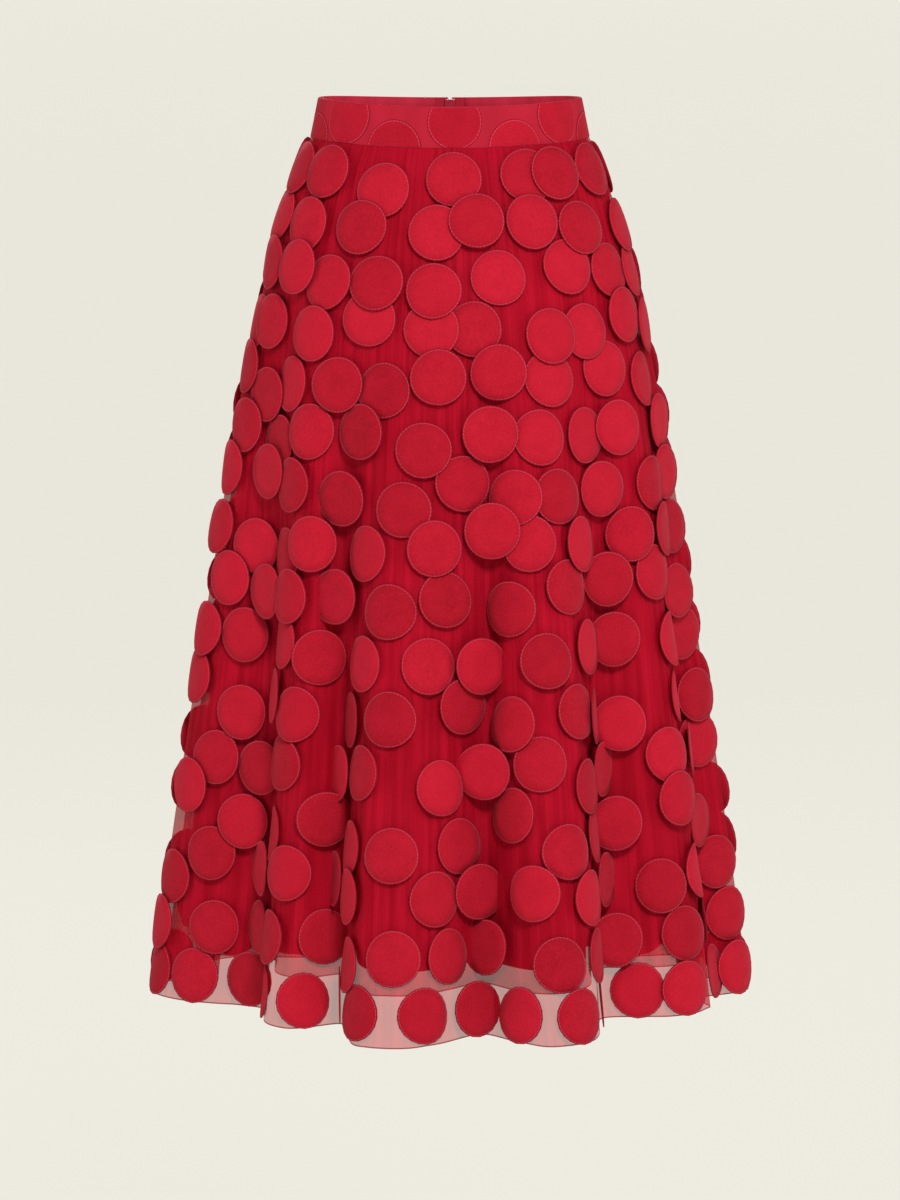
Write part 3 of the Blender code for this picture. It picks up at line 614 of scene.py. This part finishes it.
def scatter_spots(layer):
    """Appliques in staggered rows that wander, closer together where the cloth is gathered."""
    rng = random.Random(SPOT_SEED)
    angles = []
    drops = []
    highest = SPOT_RADIUS + SPOT_EDGE
    lowest = SKIRT_DROP - highest
    drop = highest
    row = 0
    while drop < lowest + SPOT_SPACING_HEM / 4:
        spacing = mix(SPOT_SPACING_TOP, SPOT_SPACING_HEM, share_down(drop))
        count = round(line_length(drop, FIRST_ANGLE, FIRST_ANGLE + 360, layer) / spacing)
        for angle in row_angles(drop, count, 0.5 * (row % 2), layer):
            angles.append(angle + rng.uniform(-1, 1) * SPOT_WANDER * 360 / count)
            drops.append(drop + rng.uniform(-1, 1) * SPOT_WANDER * spacing)
        drop += spacing * SPOT_ROW_RATIO
        row += 1
    for _ in range(SPOT_SPREADING_PASSES):
        angles = [kept_off_seams(angle, drop, highest, layer) for angle, drop in zip(angles, drops)]
        drops = [min(max(drop, highest), lowest) for drop in drops]
        order = sorted(range(len(drops)), key=lambda index: drops[index])
        angles = [angles[index] for index in order]
        drops = [drops[index] for index in order]
        points = [surface(angle, drop, layer) for angle, drop in zip(angles, drops)]
        push_apart(angles, drops, points, layer)
    drops = [min(max(drop, highest), lowest) for drop in drops]
    angles = [kept_off_seams(angle, drop, highest, layer) for angle, drop in zip(angles, drops)]
    return list(zip(angles, drops))


# The appliques' places come first, because each stiffens the net that it is sewn to. Their
# whole size is 50 mm, and they stray a little further than the solids' raised discs can.
# They are scattered before the folds are drawn in, and so keep the solids' places.
DISC_RADIUS = 0.0250
DISC_MARGIN = 0.0006
SCENE_WANDER_TOP = 0.008
SCENE_WANDER_HEM = 0.005


def kept_inside(drop):
    """Keep an applique's centre clear of the band seam and of the hem."""
    return min(max(drop, DISC_RADIUS + DISC_MARGIN), SKIRT_DROP - DISC_RADIUS + DISC_MARGIN)


stray = random.Random(23)
spots = []
for angle, drop in scatter_spots(OUTER._replace(draw=0.0)):
    reach = mix(SCENE_WANDER_TOP, SCENE_WANDER_HEM, share_down(drop)) * math.sqrt(stray.random())
    turn = stray.uniform(0, math.tau)
    per_degree, per_metre = slopes(angle, drop, OUTER)
    angle += reach * math.cos(turn) / per_degree.length
    drop = kept_inside(drop + reach * math.sin(turn) / per_metre.length)
    spots.append((kept_off_seams(angle, drop, DISC_RADIUS + DISC_MARGIN, OUTER), drop))
spot_tree = kdtree.KDTree(len(spots))
for index, (angle, drop) in enumerate(spots):
    spot_tree.insert(surface(angle, drop, OUTER), index)
spot_tree.balance()

# What is left of a crease under an applique, and how far from its centre that ends, in radii
SPOT_CALM = 0.35
CALM_TO = 0.7
CALM_FADE = 0.6


def calmed(place):
    """How much of a crease is left near an applique."""
    away = spot_tree.find(place)[2] / DISC_RADIUS
    share = min(max((away - CALM_TO) / CALM_FADE, 0.0), 1.0)
    return mix(SPOT_CALM, 1.0, share * share * (3 - 2 * share))


# the same net in a clearer red, with its cut hem a little darker
sheer_tulle = woven_material("sheer_tulle", "CE1230", "AC0620", thread=NET_THREAD, streak=0.0080,
                             roughness=0.8, bump=0.35, alpha=0.63, specular=0.06)
sheer_tulle_edge = woven_material("sheer_tulle_edge", "9A1226", "760616", thread=NET_THREAD,
                                  streak=0.0050, roughness=0.8, bump=0.3, alpha=0.9)
for panel in PANELS:
    outer = hang_panel("tulle_spotted_" + panel.name, panel, OUTER, top=0.0, bottom=SKIRT_DROP,
                       across=round((panel.end - panel.start) * 1.66), down=130,
                       opening=ZIP_GAP / 2, opened_to=ZIP_DROP, edge_row=HEM_EDGE, calm=calmed)
    dress(outer, "outer_tulle", sheer_tulle, sheer_tulle_edge)
    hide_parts("outer_" + panel.name)

# Appliques
# Round discs of matt woven cloth, about 50 mm across, backed so that they stay rather flat.
# Each is overlocked at its rim and sewn to the tulle, and some lap over their neighbours.
DISC_SIDES = 20
DISC_RINGS = (0.6, 1.0)
DISC_THICK = 0.0009
DISC_LIFT = 0.0012
DISC_WOBBLE = 0.009
# A disc bends over a fold's crest at most this much, and only by this share in a valley
MOST_BEND = 14.0
VALLEY_BEND = 0.25
FIT_CORNERS = 12
# Where discs lap: the gap between them, the lift that needs no nudge and the greatest lift
DISC_LAP = 0.0005
DISC_LAP_EASY = 0.0025
DISC_LAP_MOST = 0.012
LAP_LEAN = 0.6
LAP_RINGS = (0.45, 0.75, 1.0)
LAP_REACH = 1.02
NEIGHBOUR = 2.2
NUDGE = 0.008
NUDGES = ((0, 0), (1, 0), (-1, 0), (0, -1), (0, 1), (1, -1), (-1, -1), (1, 1), (-1, 1))


def disc_template(sides):
    """A disc of radius 1 with a ring near its rim and a turned-down edge, and its own UV."""
    bm = bmesh.new()
    bmesh.ops.create_circle(bm, cap_ends=True, cap_tris=True, segments=sides, radius=DISC_RINGS[0])
    rim = [edge for edge in bm.edges if edge.is_boundary]
    for ring in (*DISC_RINGS[1:], None):
        made = bmesh.ops.extrude_edge_only(bm, edges=rim)["geom"]
        verts = [item for item in made if isinstance(item, bmesh.types.BMVert)]
        rim = [item for item in made if isinstance(item, bmesh.types.BMEdge)]
        if ring is None:
            bmesh.ops.translate(bm, vec=(0, 0, -1), verts=verts)
        else:
            size = ring / verts[0].co.xy.length
            bmesh.ops.scale(bm, vec=(size, size, 1), verts=verts)
    back = bmesh.ops.holes_fill(bm, edges=rim, sides=sides)["faces"]
    bmesh.ops.poke(bm, faces=back)
    bmesh.ops.recalc_face_normals(bm, faces=bm.faces[:])
    uv = bm.loops.layers.uv.new("Disc")
    for face in bm.faces:
        face.smooth = abs(face.normal.z) > 0.5
        for loop in face.loops:
            loop[uv].uv = loop.vert.co.xy
    return finished_mesh("disc_template", bm)


# How a disc lies: its frame, its slope and bend from side to side, its lean and its height
Lie = namedtuple("Lie", "centre normal sideways downwards slope bend lean rise")


def height_at(lie, x, y):
    """How high the middle of a disc's cloth stands over its frame, x sideways and y down."""
    return lie.slope * x + lie.bend * x * x + lie.lean[0] * x + lie.lean[1] * y + lie.rise


def disc_point(lie, out, turn, below):
    """A point of a disc, from its distance out, its turn round and its depth in the cloth."""
    x = out * math.cos(turn)
    x /= math.sqrt(1 + (lie.slope + lie.bend * x) ** 2)
    y = out * math.sin(turn)
    height = height_at(lie, x, y) - below
    return lie.centre + lie.sideways * x + lie.downwards * y + lie.normal * height


def lie_on_cloth(angle, drop, follow, lean):
    """Bend a disc from side to side towards the fold under it, and rest it on the tulle."""
    per_degree, per_metre = slopes(angle, drop, OUTER)
    normal = per_metre.cross(per_degree).normalized()
    sideways = per_degree.normalized()
    downwards = sideways.cross(normal) if sideways.cross(normal).z < 0 else normal.cross(sideways)
    centre = surface(angle, drop, OUTER)
    ridge = max(0.0, crease_height(angle, drop, OUTER)) * calmed(centre)
    found = []
    for corner in range(FIT_CORNERS):
        turn = math.tau * corner / FIT_CORNERS
        direction = sideways * math.cos(turn) + downwards * math.sin(turn)
        at = (angle, drop)
        for _ in DISC_RINGS:
            at = walk(*at, direction, DISC_RADIUS / len(DISC_RINGS), OUTER, steps=2)
            place = surface(*at, OUTER)
            away = place - centre
            found.append((away.dot(sideways), away.dot(downwards), away.dot(normal)))
            ridge = max(ridge, crease_height(*at, OUTER) * calmed(place))
    right = found[len(DISC_RINGS) - 1][2]
    left = found[(FIT_CORNERS // 2 + 1) * len(DISC_RINGS) - 1][2]
    slope = follow * (right - left) / (2 * DISC_RADIUS)
    bend = follow * (right + left) / (2 * DISC_RADIUS ** 2)
    bend = max(bend, -MOST_BEND) if bend < 0 else min(bend, MOST_BEND) * VALLEY_BEND
    flat = Lie(centre, normal, sideways, downwards, slope, bend, lean, 0.0)
    over = max(0.0, *(height - height_at(flat, x, y) for x, y, height in found))
    return flat._replace(rise=over + ridge + DISC_LIFT + DISC_THICK)


def lie_over(lie, others):
    """Lean and lift a disc just enough to clear the discs that it laps over."""
    short = []
    for corner in range(DISC_SIDES):
        for ring in LAP_RINGS:
            turn = math.tau * corner / DISC_SIDES
            point = disc_point(lie, ring * DISC_RADIUS, turn, DISC_THICK)
            for other in others:
                away = point - other.centre
                x, y = away.dot(other.sideways), away.dot(other.downwards)
                above = away.dot(other.normal)
                if math.hypot(x, y) < DISC_RADIUS * LAP_REACH and abs(above) < DISC_RADIUS:
                    need = height_at(other, x, y) + DISC_LAP - above
                    if need > 0:
                        short.append((need, ring * math.cos(turn), ring * math.sin(turn)))
    if not short:
        return lie
    total = sum(need for need, _, _ in short)
    x = LAP_LEAN * sum(need * x for need, x, _ in short) / total
    y = LAP_LEAN * sum(need * y for need, _, y in short) / total
    lift = max(need / (1 + x * at_x + y * at_y) for need, at_x, at_y in short)
    lift = min(lift, DISC_LAP_MOST)
    lean = (lie.lean[0] + lift * x / DISC_RADIUS, lie.lean[1] + lift * y / DISC_RADIUS)
    return lie._replace(lean=lean, rise=lie.rise + lift)


def best_lie(angle, drop, follow, lean, others):
    """Lay a disc at its place, or a little beside it where it would lap its neighbours steeply."""
    per_degree, per_metre = slopes(angle, drop, OUTER)
    best = None
    least = math.inf
    for across, down in NUDGES:
        at_drop = kept_inside(drop + down * NUDGE / per_metre.length)
        at_angle = angle + across * NUDGE / per_degree.length
        if across:
            at_angle = kept_off_seams(at_angle, at_drop, DISC_RADIUS + DISC_MARGIN, OUTER)
        lie = lie_on_cloth(at_angle, at_drop, follow, lean)
        reach = NEIGHBOUR * DISC_RADIUS
        near = [other for other in others if (other.centre - lie.centre).length < reach]
        lapped = lie_over(lie, near)
        if lapped.rise - lie.rise < least:
            best = lapped
            least = lapped.rise - lie.rise
        if least < DISC_LAP_EASY:
            break
    return best


def lay_disc(bm, template, lie, tone, tones):
    """Add one disc to a mesh, as it lies, with its own shade and a slightly uneven rim."""
    first = len(bm.verts)
    bm.from_mesh(template)
    bm.verts.ensure_lookup_table()
    for vert in bm.verts[first:]:
        turn = math.atan2(vert.co.y, vert.co.x)
        wobble = math.sin(2 * turn + tone * math.tau) + math.sin(3 * turn + 2 * tone * math.tau)
        out = vert.co.xy.length * DISC_RADIUS * (1 + DISC_WOBBLE * wobble)
        vert.co = disc_point(lie, out, turn, DISC_THICK if vert.co.z < -0.5 else 0.0)
        vert[tones] = tone


# Polyester crepe discs: matt, fine cross ribs about 1 mm apart, a lighter thread sewn just
# inside an overlocked rim, which is painted darker as shade along the disc's edge. Tone is each
# disc's own shade of red. The ring of stitches and the painted rim shade are measured in radii.
STITCHES = 44
STITCH_RING = 0.950
STITCH_HALF_WIDTH = 0.016
RIM_SHADE_FROM = 0.975
RIB_SPACING = 0.0011


def applique_material(name):
    """Crepe on a disc's own UV, which is its size in radii."""
    material, tree, shader = new_material(name)
    place = add(tree, "UVMap", uv_map="Disc").outputs["UV"]
    axes = add(tree, "SeparateXYZ", {0: place}).outputs
    out = add(tree, "VectorMath", {0: place}, operation="LENGTH").outputs["Value"]
    tone = add(tree, "Attribute", attribute_name="tone").outputs["Fac"]
    ribs = add(tree, "TexWave",
               {"Vector": place, "Scale": WAVE_PERIOD * DISC_RADIUS / RIB_SPACING,
                "Distortion": 1.2, "Detail": 2.0, "Detail Scale": 6.0}, bands_direction="Y")
    seed = add(tree, "Math", {0: tone, 1: 40.0}, operation="MULTIPLY").outputs[0]
    grain, nap = [
        add(tree, "TexNoise", {"Vector": place, "W": seed, "Scale": scale, "Detail": detail},
            noise_dimensions="4D").outputs["Fac"] for scale, detail in ((15.0, 3.0), (1.6, 2.0))
    ]
    mottled = add(tree, "Math", {0: nap, 1: 0.4, 2: grain}, operation="MULTIPLY_ADD")
    shade = add(tree, "Math", {0: tone, 1: 0.5, 2: mottled.outputs[0]},
                operation="MULTIPLY_ADD")
    share = add(tree, "MapRange", {"Value": shade.outputs[0], "From Min": 0.45, "From Max": 1.45})
    cloth = add(tree, "Mix",
                {0: share.outputs["Result"], 6: linear("94061A"), 7: linear("C81A32")},
                data_type="RGBA")
    turn = add(tree, "Math", {0: axes["Y"], 1: axes["X"]}, operation="ARCTAN2")
    many = add(tree, "Math", {0: turn.outputs[0], 1: STITCHES}, operation="MULTIPLY")
    stitches = add(tree, "Math", {0: many.outputs[0]}, operation="SINE")
    near = add(tree, "Math", {0: out, 1: STITCH_RING, 2: STITCH_HALF_WIDTH}, operation="COMPARE")
    seen = add(tree, "MapRange", {"Value": stitches.outputs[0], "From Min": -0.9,
                                  "From Max": -0.2, "To Min": 0.25, "To Max": 1.0})
    thread = add(tree, "Math", {0: near.outputs[0], 1: seen.outputs["Result"]},
                 operation="MULTIPLY")
    sewn = add(tree, "Mix",
               {0: thread.outputs[0], 6: cloth.outputs[2], 7: linear("C83A4C")}, data_type="RGBA")
    # the outermost ring is painted darker: painted shade along the disc's edge
    rim = add(tree, "Math", {0: out, 1: RIM_SHADE_FROM}, operation="GREATER_THAN")
    colour = add(tree, "Mix",
                 {0: rim.outputs[0], 6: sewn.outputs[2], 7: linear("86101F")}, data_type="RGBA")
    rough = add(tree, "MapRange", {"Value": grain, "To Min": 0.78, "To Max": 0.95})
    woven = add(tree, "Math", {0: ribs.outputs["Fac"], 1: 0.4, 2: grain},
                operation="MULTIPLY_ADD")
    height = add(tree, "Math", {0: thread.outputs[0], 1: 1.4, 2: woven.outputs[0]},
                 operation="MULTIPLY_ADD")
    relief = add(tree, "Bump", {"Height": height.outputs[0], "Strength": 0.45, "Distance": 0.0004})
    fill(tree, shader, {
        "Base Color": colour.outputs[2],
        "Roughness": rough.outputs["Result"],
        "Normal": relief.outputs["Normal"],
        "Specular IOR Level": 0.12,
        "Sheen Weight": 0.18,
        "Sheen Roughness": 0.5,
        "Sheen Tint": linear("E86478"),
    })
    return material


crepe = applique_material("crepe_applique")
template = disc_template(DISC_SIDES)
hand = random.Random(5)
laid = {panel.name: bmesh.new() for panel in PANELS}
tone_layers = {name: bm.verts.layers.float.new("tone") for name, bm in laid.items()}
lies = []
# sewn on in no order, each leaning and following the fold under it a little differently
for angle, drop in hand.sample(spots, len(spots)):
    name = panel_at(angle).name
    lean = (hand.uniform(-0.04, 0.04), hand.uniform(0.0, 0.05))
    lies.append(best_lie(angle, drop, hand.uniform(0.6, 0.9), lean, lies))
    lay_disc(laid[name], template, lies[-1], hand.random(), tone_layers[name])
for panel in PANELS:
    discs = make_piece("appliques_" + panel.name, laid[panel.name])
    dress(discs, "spotted_band", crepe)
    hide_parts("outer_" + panel.name)
bpy.data.meshes.remove(template)

# Waistband
# A shaped band 36 mm deep in three parts, of the same spotted tulle mounted on a firm cloth.
# Its discs lie flat, are cut off by its edges, and the edges are stitched down.
BAND = Layer(0.0, 0.0, 0.0, 1.0, 0.0, 0)
BAND_WALL = 0.0022
BAND_EDGE_ROUND = 0.0007
BAND_SPOTS = 14
BAND_SPOT_FIRST = 2.0
BAND_SPOT_CLEAR = 10
BAND_SPOT_HIGH = -0.0235
BAND_SPOT_LOW = 0.0010
BAND_DISC_SIDES = 32
BAND_DISC_LIFT = 0.0005
BAND_DISC_EDGE = 0.0010
BAND_DISC_STRIPS = 8
BAND_DISC_SHARP = 0.8
# each disc's shade differs from its neighbours', in the darker part of the range
BAND_TONE_FIRST = 0.2
BAND_TONE_STEP = 0.37
BAND_TONE_MOST = 0.6
JUST_ABOVE_SEAM = -0.0003
# the zip's opening runs on past the foot of the band
ALL_DOWN = 1.0
# tulle over red cotton: a little duller and browner than the skirt
banded = woven_material("banded_tulle", "BA1E34", "A8182C", thread=0.0014, streak=0.0040,
                        roughness=0.8, bump=0.2)
for panel in PANELS:
    band = hang_panel("waistband_cloth_" + panel.name, panel, BAND, top=-BAND_DEPTH, bottom=0.0,
                      across=round((panel.end - panel.start) * 0.7), down=8,
                      opening=ZIP_GAP / 2, opened_to=ALL_DOWN)
    thicken(band, BAND_WALL)
    soften = band.modifiers.new("turned edge", "BEVEL")
    soften.width = BAND_EDGE_ROUND
    soften.segments = 2
    soften.limit_method = "ANGLE"
    dress(band, "spotted_band", banded)
    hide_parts("waistband_" + panel.name)

bm = bmesh.new()
bm.verts.layers.float.new("tone")
bm.loops.layers.uv.new("Disc")
for index in range(BAND_SPOTS):
    angle = BAND_SPOT_FIRST + index * 360 / BAND_SPOTS
    if abs(angle - CENTRE_BACK) < BAND_SPOT_CLEAR:
        continue
    middle = BAND_SPOT_HIGH if index % 2 == 0 else BAND_SPOT_LOW
    disc = bmesh.new()
    bmesh.ops.create_circle(disc, cap_ends=True, segments=BAND_DISC_SIDES, radius=DISC_RADIUS)
    # cut off at the band's edges, then cut into strips so that it can bend round the waist
    cuts = [((0, middle + BAND_DEPTH - BAND_DISC_EDGE, 0), (0, 1, 0), True),
            ((0, middle + BAND_DISC_EDGE, 0), (0, -1, 0), True)]
    for strip in range(-BAND_DISC_STRIPS, BAND_DISC_STRIPS + 1):
        cuts.append(((strip * DISC_RADIUS / (BAND_DISC_STRIPS + 1), 0, 0), (1, 0, 0), False))
    for place, out, clear in cuts:
        bmesh.ops.bisect_plane(disc, geom=disc.verts[:] + disc.edges[:] + disc.faces[:],
                               plane_co=place, plane_no=out, clear_outer=clear)
    bmesh.ops.recalc_face_normals(disc, faces=disc.faces[:])
    if disc.faces[:][0].normal.z < 0:
        bmesh.ops.reverse_faces(disc, faces=disc.faces[:])
    uv = disc.loops.layers.uv.new("Disc")
    for face in disc.faces:
        face.smooth = True
        for loop in face.loops:
            loop[uv].uv = loop.vert.co.xy / DISC_RADIUS
    made = bmesh.ops.extrude_face_region(disc, geom=disc.faces[:])["geom"]
    front = [item for item in made if isinstance(item, bmesh.types.BMVert)]
    bmesh.ops.translate(disc, vec=(0, 0, BAND_DISC_LIFT), verts=front)
    disc.normal_update()
    for face in disc.faces:
        face.smooth = abs(face.normal.z) > 0.5
    for edge in disc.edges:
        edge.smooth = edge.calc_face_angle(0.0) < BAND_DISC_SHARP
    tones = disc.verts.layers.float.new("tone")
    for vert in disc.verts:
        drop = middle - vert.co.y
        turned = angle + vert.co.x / slopes(angle, 0.0, BAND)[0].length
        per_degree, per_metre = slopes(turned, min(drop, JUST_ABOVE_SEAM), BAND)
        out = per_metre.cross(per_degree).normalized()
        vert.co = surface(turned, drop, BAND) + out * vert.co.z
        vert[tones] = (BAND_TONE_FIRST + BAND_TONE_STEP * index) % BAND_TONE_MOST
    bmesh.ops.recalc_face_normals(disc, faces=disc.faces[:])
    held = finished_mesh("band_disc", disc)
    bm.from_mesh(held)
    bpy.data.meshes.remove(held)
band_discs = make_piece("appliques_waistband", bm)
dress(band_discs, "spotted_band", crepe)

# Band facing
# The plain inside of the band: red cotton, seen above the front edge on the inside of the
# back. It is turned in at the top edge and at the zip.
FACING = Layer(0.0, 0.0030, 0.0030, 1.0, 0.0, 0)
FACING_WALL = 0.0009
# cotton: matt and opaque, with no shine on its folds
cotton = woven_material("facing_cotton", "C82C44", "B42238", thread=0.0012, streak=0.0040,
                        roughness=0.85, bump=0.2)
for panel in PANELS:
    facing = hang_panel("facing_cotton_" + panel.name, panel, FACING, top=-BAND_DEPTH, bottom=0.0,
                        across=round((panel.end - panel.start) / 3), down=4,
                        opening=ZIP_GAP / 2 + ZIP_TAPE_WIDTH, opened_to=ALL_DOWN)
    thicken(facing, FACING_WALL)
    dress(facing, "facing_cloth", cotton)
    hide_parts("band_facing_" + panel.name)

# Zip
# A concealed zip at centre back, closed: two woven tapes sewn behind the opening, a fine
# nylon coil that meets in it, and a small painted slider with a drop-shaped pull.
ZIP_TAPE_TOP = 0.0015
ZIP_TAPE_WALL = 0.0008
TAPE = Layer(0.0, 0.0030, 0.0145, 0.94, 0.0, 0)
# polyester tape: a dense matt weave, a little browner than the net
tape_weave = woven_material("zip_tape_weave", "C02A40", "A81C30", thread=0.0011, streak=0.0022,
                            roughness=0.8, bump=0.2)
for side, word in ((-1, "left"), (1, "right")):
    bm = bmesh.new()
    bmesh.ops.create_grid(bm, x_segments=4, y_segments=50, size=0.5)
    uv = bm.loops.layers.uv.new("Cloth")
    flat = {}
    for vert in bm.verts:
        distance = ZIP_GAP / 2 + (vert.co.x + 0.5) * ZIP_TAPE_WIDTH
        drop = mix(-BAND_DEPTH + ZIP_TAPE_TOP, ZIP_DROP, 0.5 - vert.co.y)
        flat[vert] = (distance, -drop)
        turned = CENTRE_BACK + side * math.degrees(distance / section(drop, "half_width"))
        vert.co = surface(turned, drop, TAPE)
    for face in bm.faces:
        for loop in face.loops:
            loop[uv].uv = flat[loop.vert]
    bm.normal_update()
    if bm.faces[:][0].normal.y < 0:
        bmesh.ops.reverse_faces(bm, faces=bm.faces[:])
    edge = sorted((vert for vert in bm.verts if flat[vert][0] < ZIP_GAP),
                  key=lambda vert: flat[vert][1])
    tape = make_piece("zip_tape_woven_" + word, bm)
    thicken(tape, ZIP_TAPE_WALL)
    dress(tape, "zip_tape", tape_weave)
    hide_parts("zip_tape_" + word)

COIL_TOP = 0.013
COIL_PITCH = 0.0013
COIL_LENGTH = 0.0017
COIL_HEIGHT = 0.0006
COIL_DEEP = 0.0008
COIL_IN_TAPE = 0.0004
COIL_ROUND = 0.00015
bm = bmesh.new()
drop = -BAND_DEPTH + COIL_TOP
turn = 0
while drop < ZIP_DROP:
    side = 1 if turn % 2 else -1
    middle = surface(CENTRE_BACK, drop, TAPE)
    tooth = bmesh.ops.create_cube(bm, size=1)["verts"]
    bmesh.ops.scale(bm, vec=(COIL_LENGTH, COIL_DEEP, COIL_HEIGHT), verts=tooth)
    edges = list({edge for vert in tooth for edge in vert.link_edges})
    place = (side * (ZIP_GAP - COIL_LENGTH) / 2, middle.y - COIL_IN_TAPE, middle.z)
    bmesh.ops.translate(bm, vec=place, verts=tooth)
    bmesh.ops.bevel(bm, geom=edges, offset=COIL_ROUND, segments=1, profile=0.5, affect="EDGES",
                    material=-1)
    drop += COIL_PITCH / 2
    turn += 1
coil = make_piece("zip_coil", bm)
# nylon coil: dyed to match, with a faint plastic shine
nylon, tree, shader = new_material("nylon_coil")
place = add(tree, "TexCoord").outputs["Object"]
spread = add(tree, "TexNoise", {"Vector": place, "Scale": 900.0, "Detail": 2.0})
colour = add(tree, "Mix",
             {0: spread.outputs["Fac"], 6: linear("8E1828"), 7: linear("B03044")}, data_type="RGBA")
rough = add(tree, "MapRange", {"Value": spread.outputs["Fac"], "To Min": 0.35, "To Max": 0.5})
fill(tree, shader, {"Base Color": colour.outputs[2], "Roughness": rough.outputs["Result"]})
dress(coil, "zip_tape", nylon)

# painted zinc: a thin satin red enamel with a little wear in its roughness and relief; its lighter
# specks are painted highlights
enamel, tree, shader = new_material("enamelled_zinc")
place = add(tree, "TexCoord").outputs["Object"]
wear_and_glint_specks = add(tree, "TexNoise", {"Vector": place, "Scale": 350.0, "Detail": 4.0})
# lighter specks in the colour: painted highlights standing in for glints
colour = add(tree, "Mix",
             {0: wear_and_glint_specks.outputs["Fac"], 6: linear("9C1A2C"), 7: linear("B82A40")}, data_type="RGBA")
rough = add(tree, "MapRange", {"Value": wear_and_glint_specks.outputs["Fac"], "To Min": 0.42, "To Max": 0.58})
relief = add(tree, "Bump", {"Height": wear_and_glint_specks.outputs["Fac"], "Strength": 0.1, "Distance": 0.0002})
fill(tree, shader, {
    "Base Color": colour.outputs[2],
    "Roughness": rough.outputs["Result"],
    "Normal": relief.outputs["Normal"],
    "Specular IOR Level": 0.3,
    "Coat Weight": 0.1,
})
for name in ("zip_slider", "zip_pull_tab"):
    solid = frame["nodes"][name]
    solid.data.materials.clear()
    solid.data.materials.append(enamel)

# Studio
# A plain pale paper floor that rises far off on all sides, one soft light high in front, one
# behind, two weaker ones at the sides, and an even pale surround.
FLOOR = -1.40
FLOOR_RADIUS = 50
RIM_RADIUS = 10
bm = bmesh.new()
middle = bm.verts.new((0, 0, FLOOR))
end = bm.verts.new((FLOOR_RADIUS, 0, FLOOR))
bm.edges.new((middle, end))
bmesh.ops.spin(bm, geom=[end], cent=(FLOOR_RADIUS, 0, FLOOR + RIM_RADIUS), axis=(0, -1, 0),
               angle=math.pi / 2, steps=12, use_merge=False)
bmesh.ops.spin(bm, geom=bm.verts[:] + bm.edges[:], cent=(0, 0, 0), axis=(0, 0, 1),
               angle=math.tau, steps=64, use_merge=True)
bmesh.ops.remove_doubles(bm, verts=bm.verts[:], dist=0.0001)
bmesh.ops.recalc_face_normals(bm, faces=bm.faces[:])
for face in bm.faces:
    face.smooth = True
sweep = placed("studio_paper", finished_mesh("studio_paper", bm))
# paper: matt, and lit by its own glow, so that it stays even and pale round the skirt
paper, tree, shader = new_material("sweep_paper")
fill(tree, shader, {
    "Base Color": linear("3A3A38"),
    "Roughness": 1.0,
    "Emission Color": linear("ECEADF"),
    "Emission Strength": 0.93,
})
sweep.data.materials.append(paper)

world = bpy.data.worlds.new("studio")
bpy.context.scene.world = world
world.use_nodes = True
fill(world.node_tree, world.node_tree.nodes["Background"],
     {"Color": linear("FFFCF6"), "Strength": 0.27})

SKIRT_MIDDLE = Vector((0, 0, -0.40))


def add_light(name, place, size, power):
    """A soft light of this width and height that faces the skirt."""
    lamp = bpy.data.lights.new(name, "AREA")
    lamp.shape = "RECTANGLE"
    lamp.size, lamp.size_y = size
    lamp.energy = power
    held = placed(name, lamp)
    held.location = place
    held.rotation_euler = (SKIRT_MIDDLE - Vector(place)).to_track_quat("-Z", "Y").to_euler()


add_light("key", (0.8, -3.7, 2.2), (0.9, 0.9), 135)
add_light("side left", (-3.2, -0.8, 0.6), (0.8, 1.8), 18)
add_light("side right", (3.2, -0.8, 0.6), (0.8, 1.8), 18)
add_light("back", (-0.6, 3.9, 1.8), (1.2, 1.2), 90)

# Camera
# Set from the waistband's and the hem's places in the photograph, which is 900 x 1200.
camera_data = bpy.data.cameras.new("camera")
camera_data.sensor_width = 36
camera_data.lens = 159.56
camera = placed("camera", camera_data)
camera.location = (0, -4.756, 0.2466)
camera.rotation_euler = (math.radians(90 - 8.156), 0, 0)
bpy.context.scene.camera = camera
bpy.context.scene.view_settings.view_transform = "Standard"
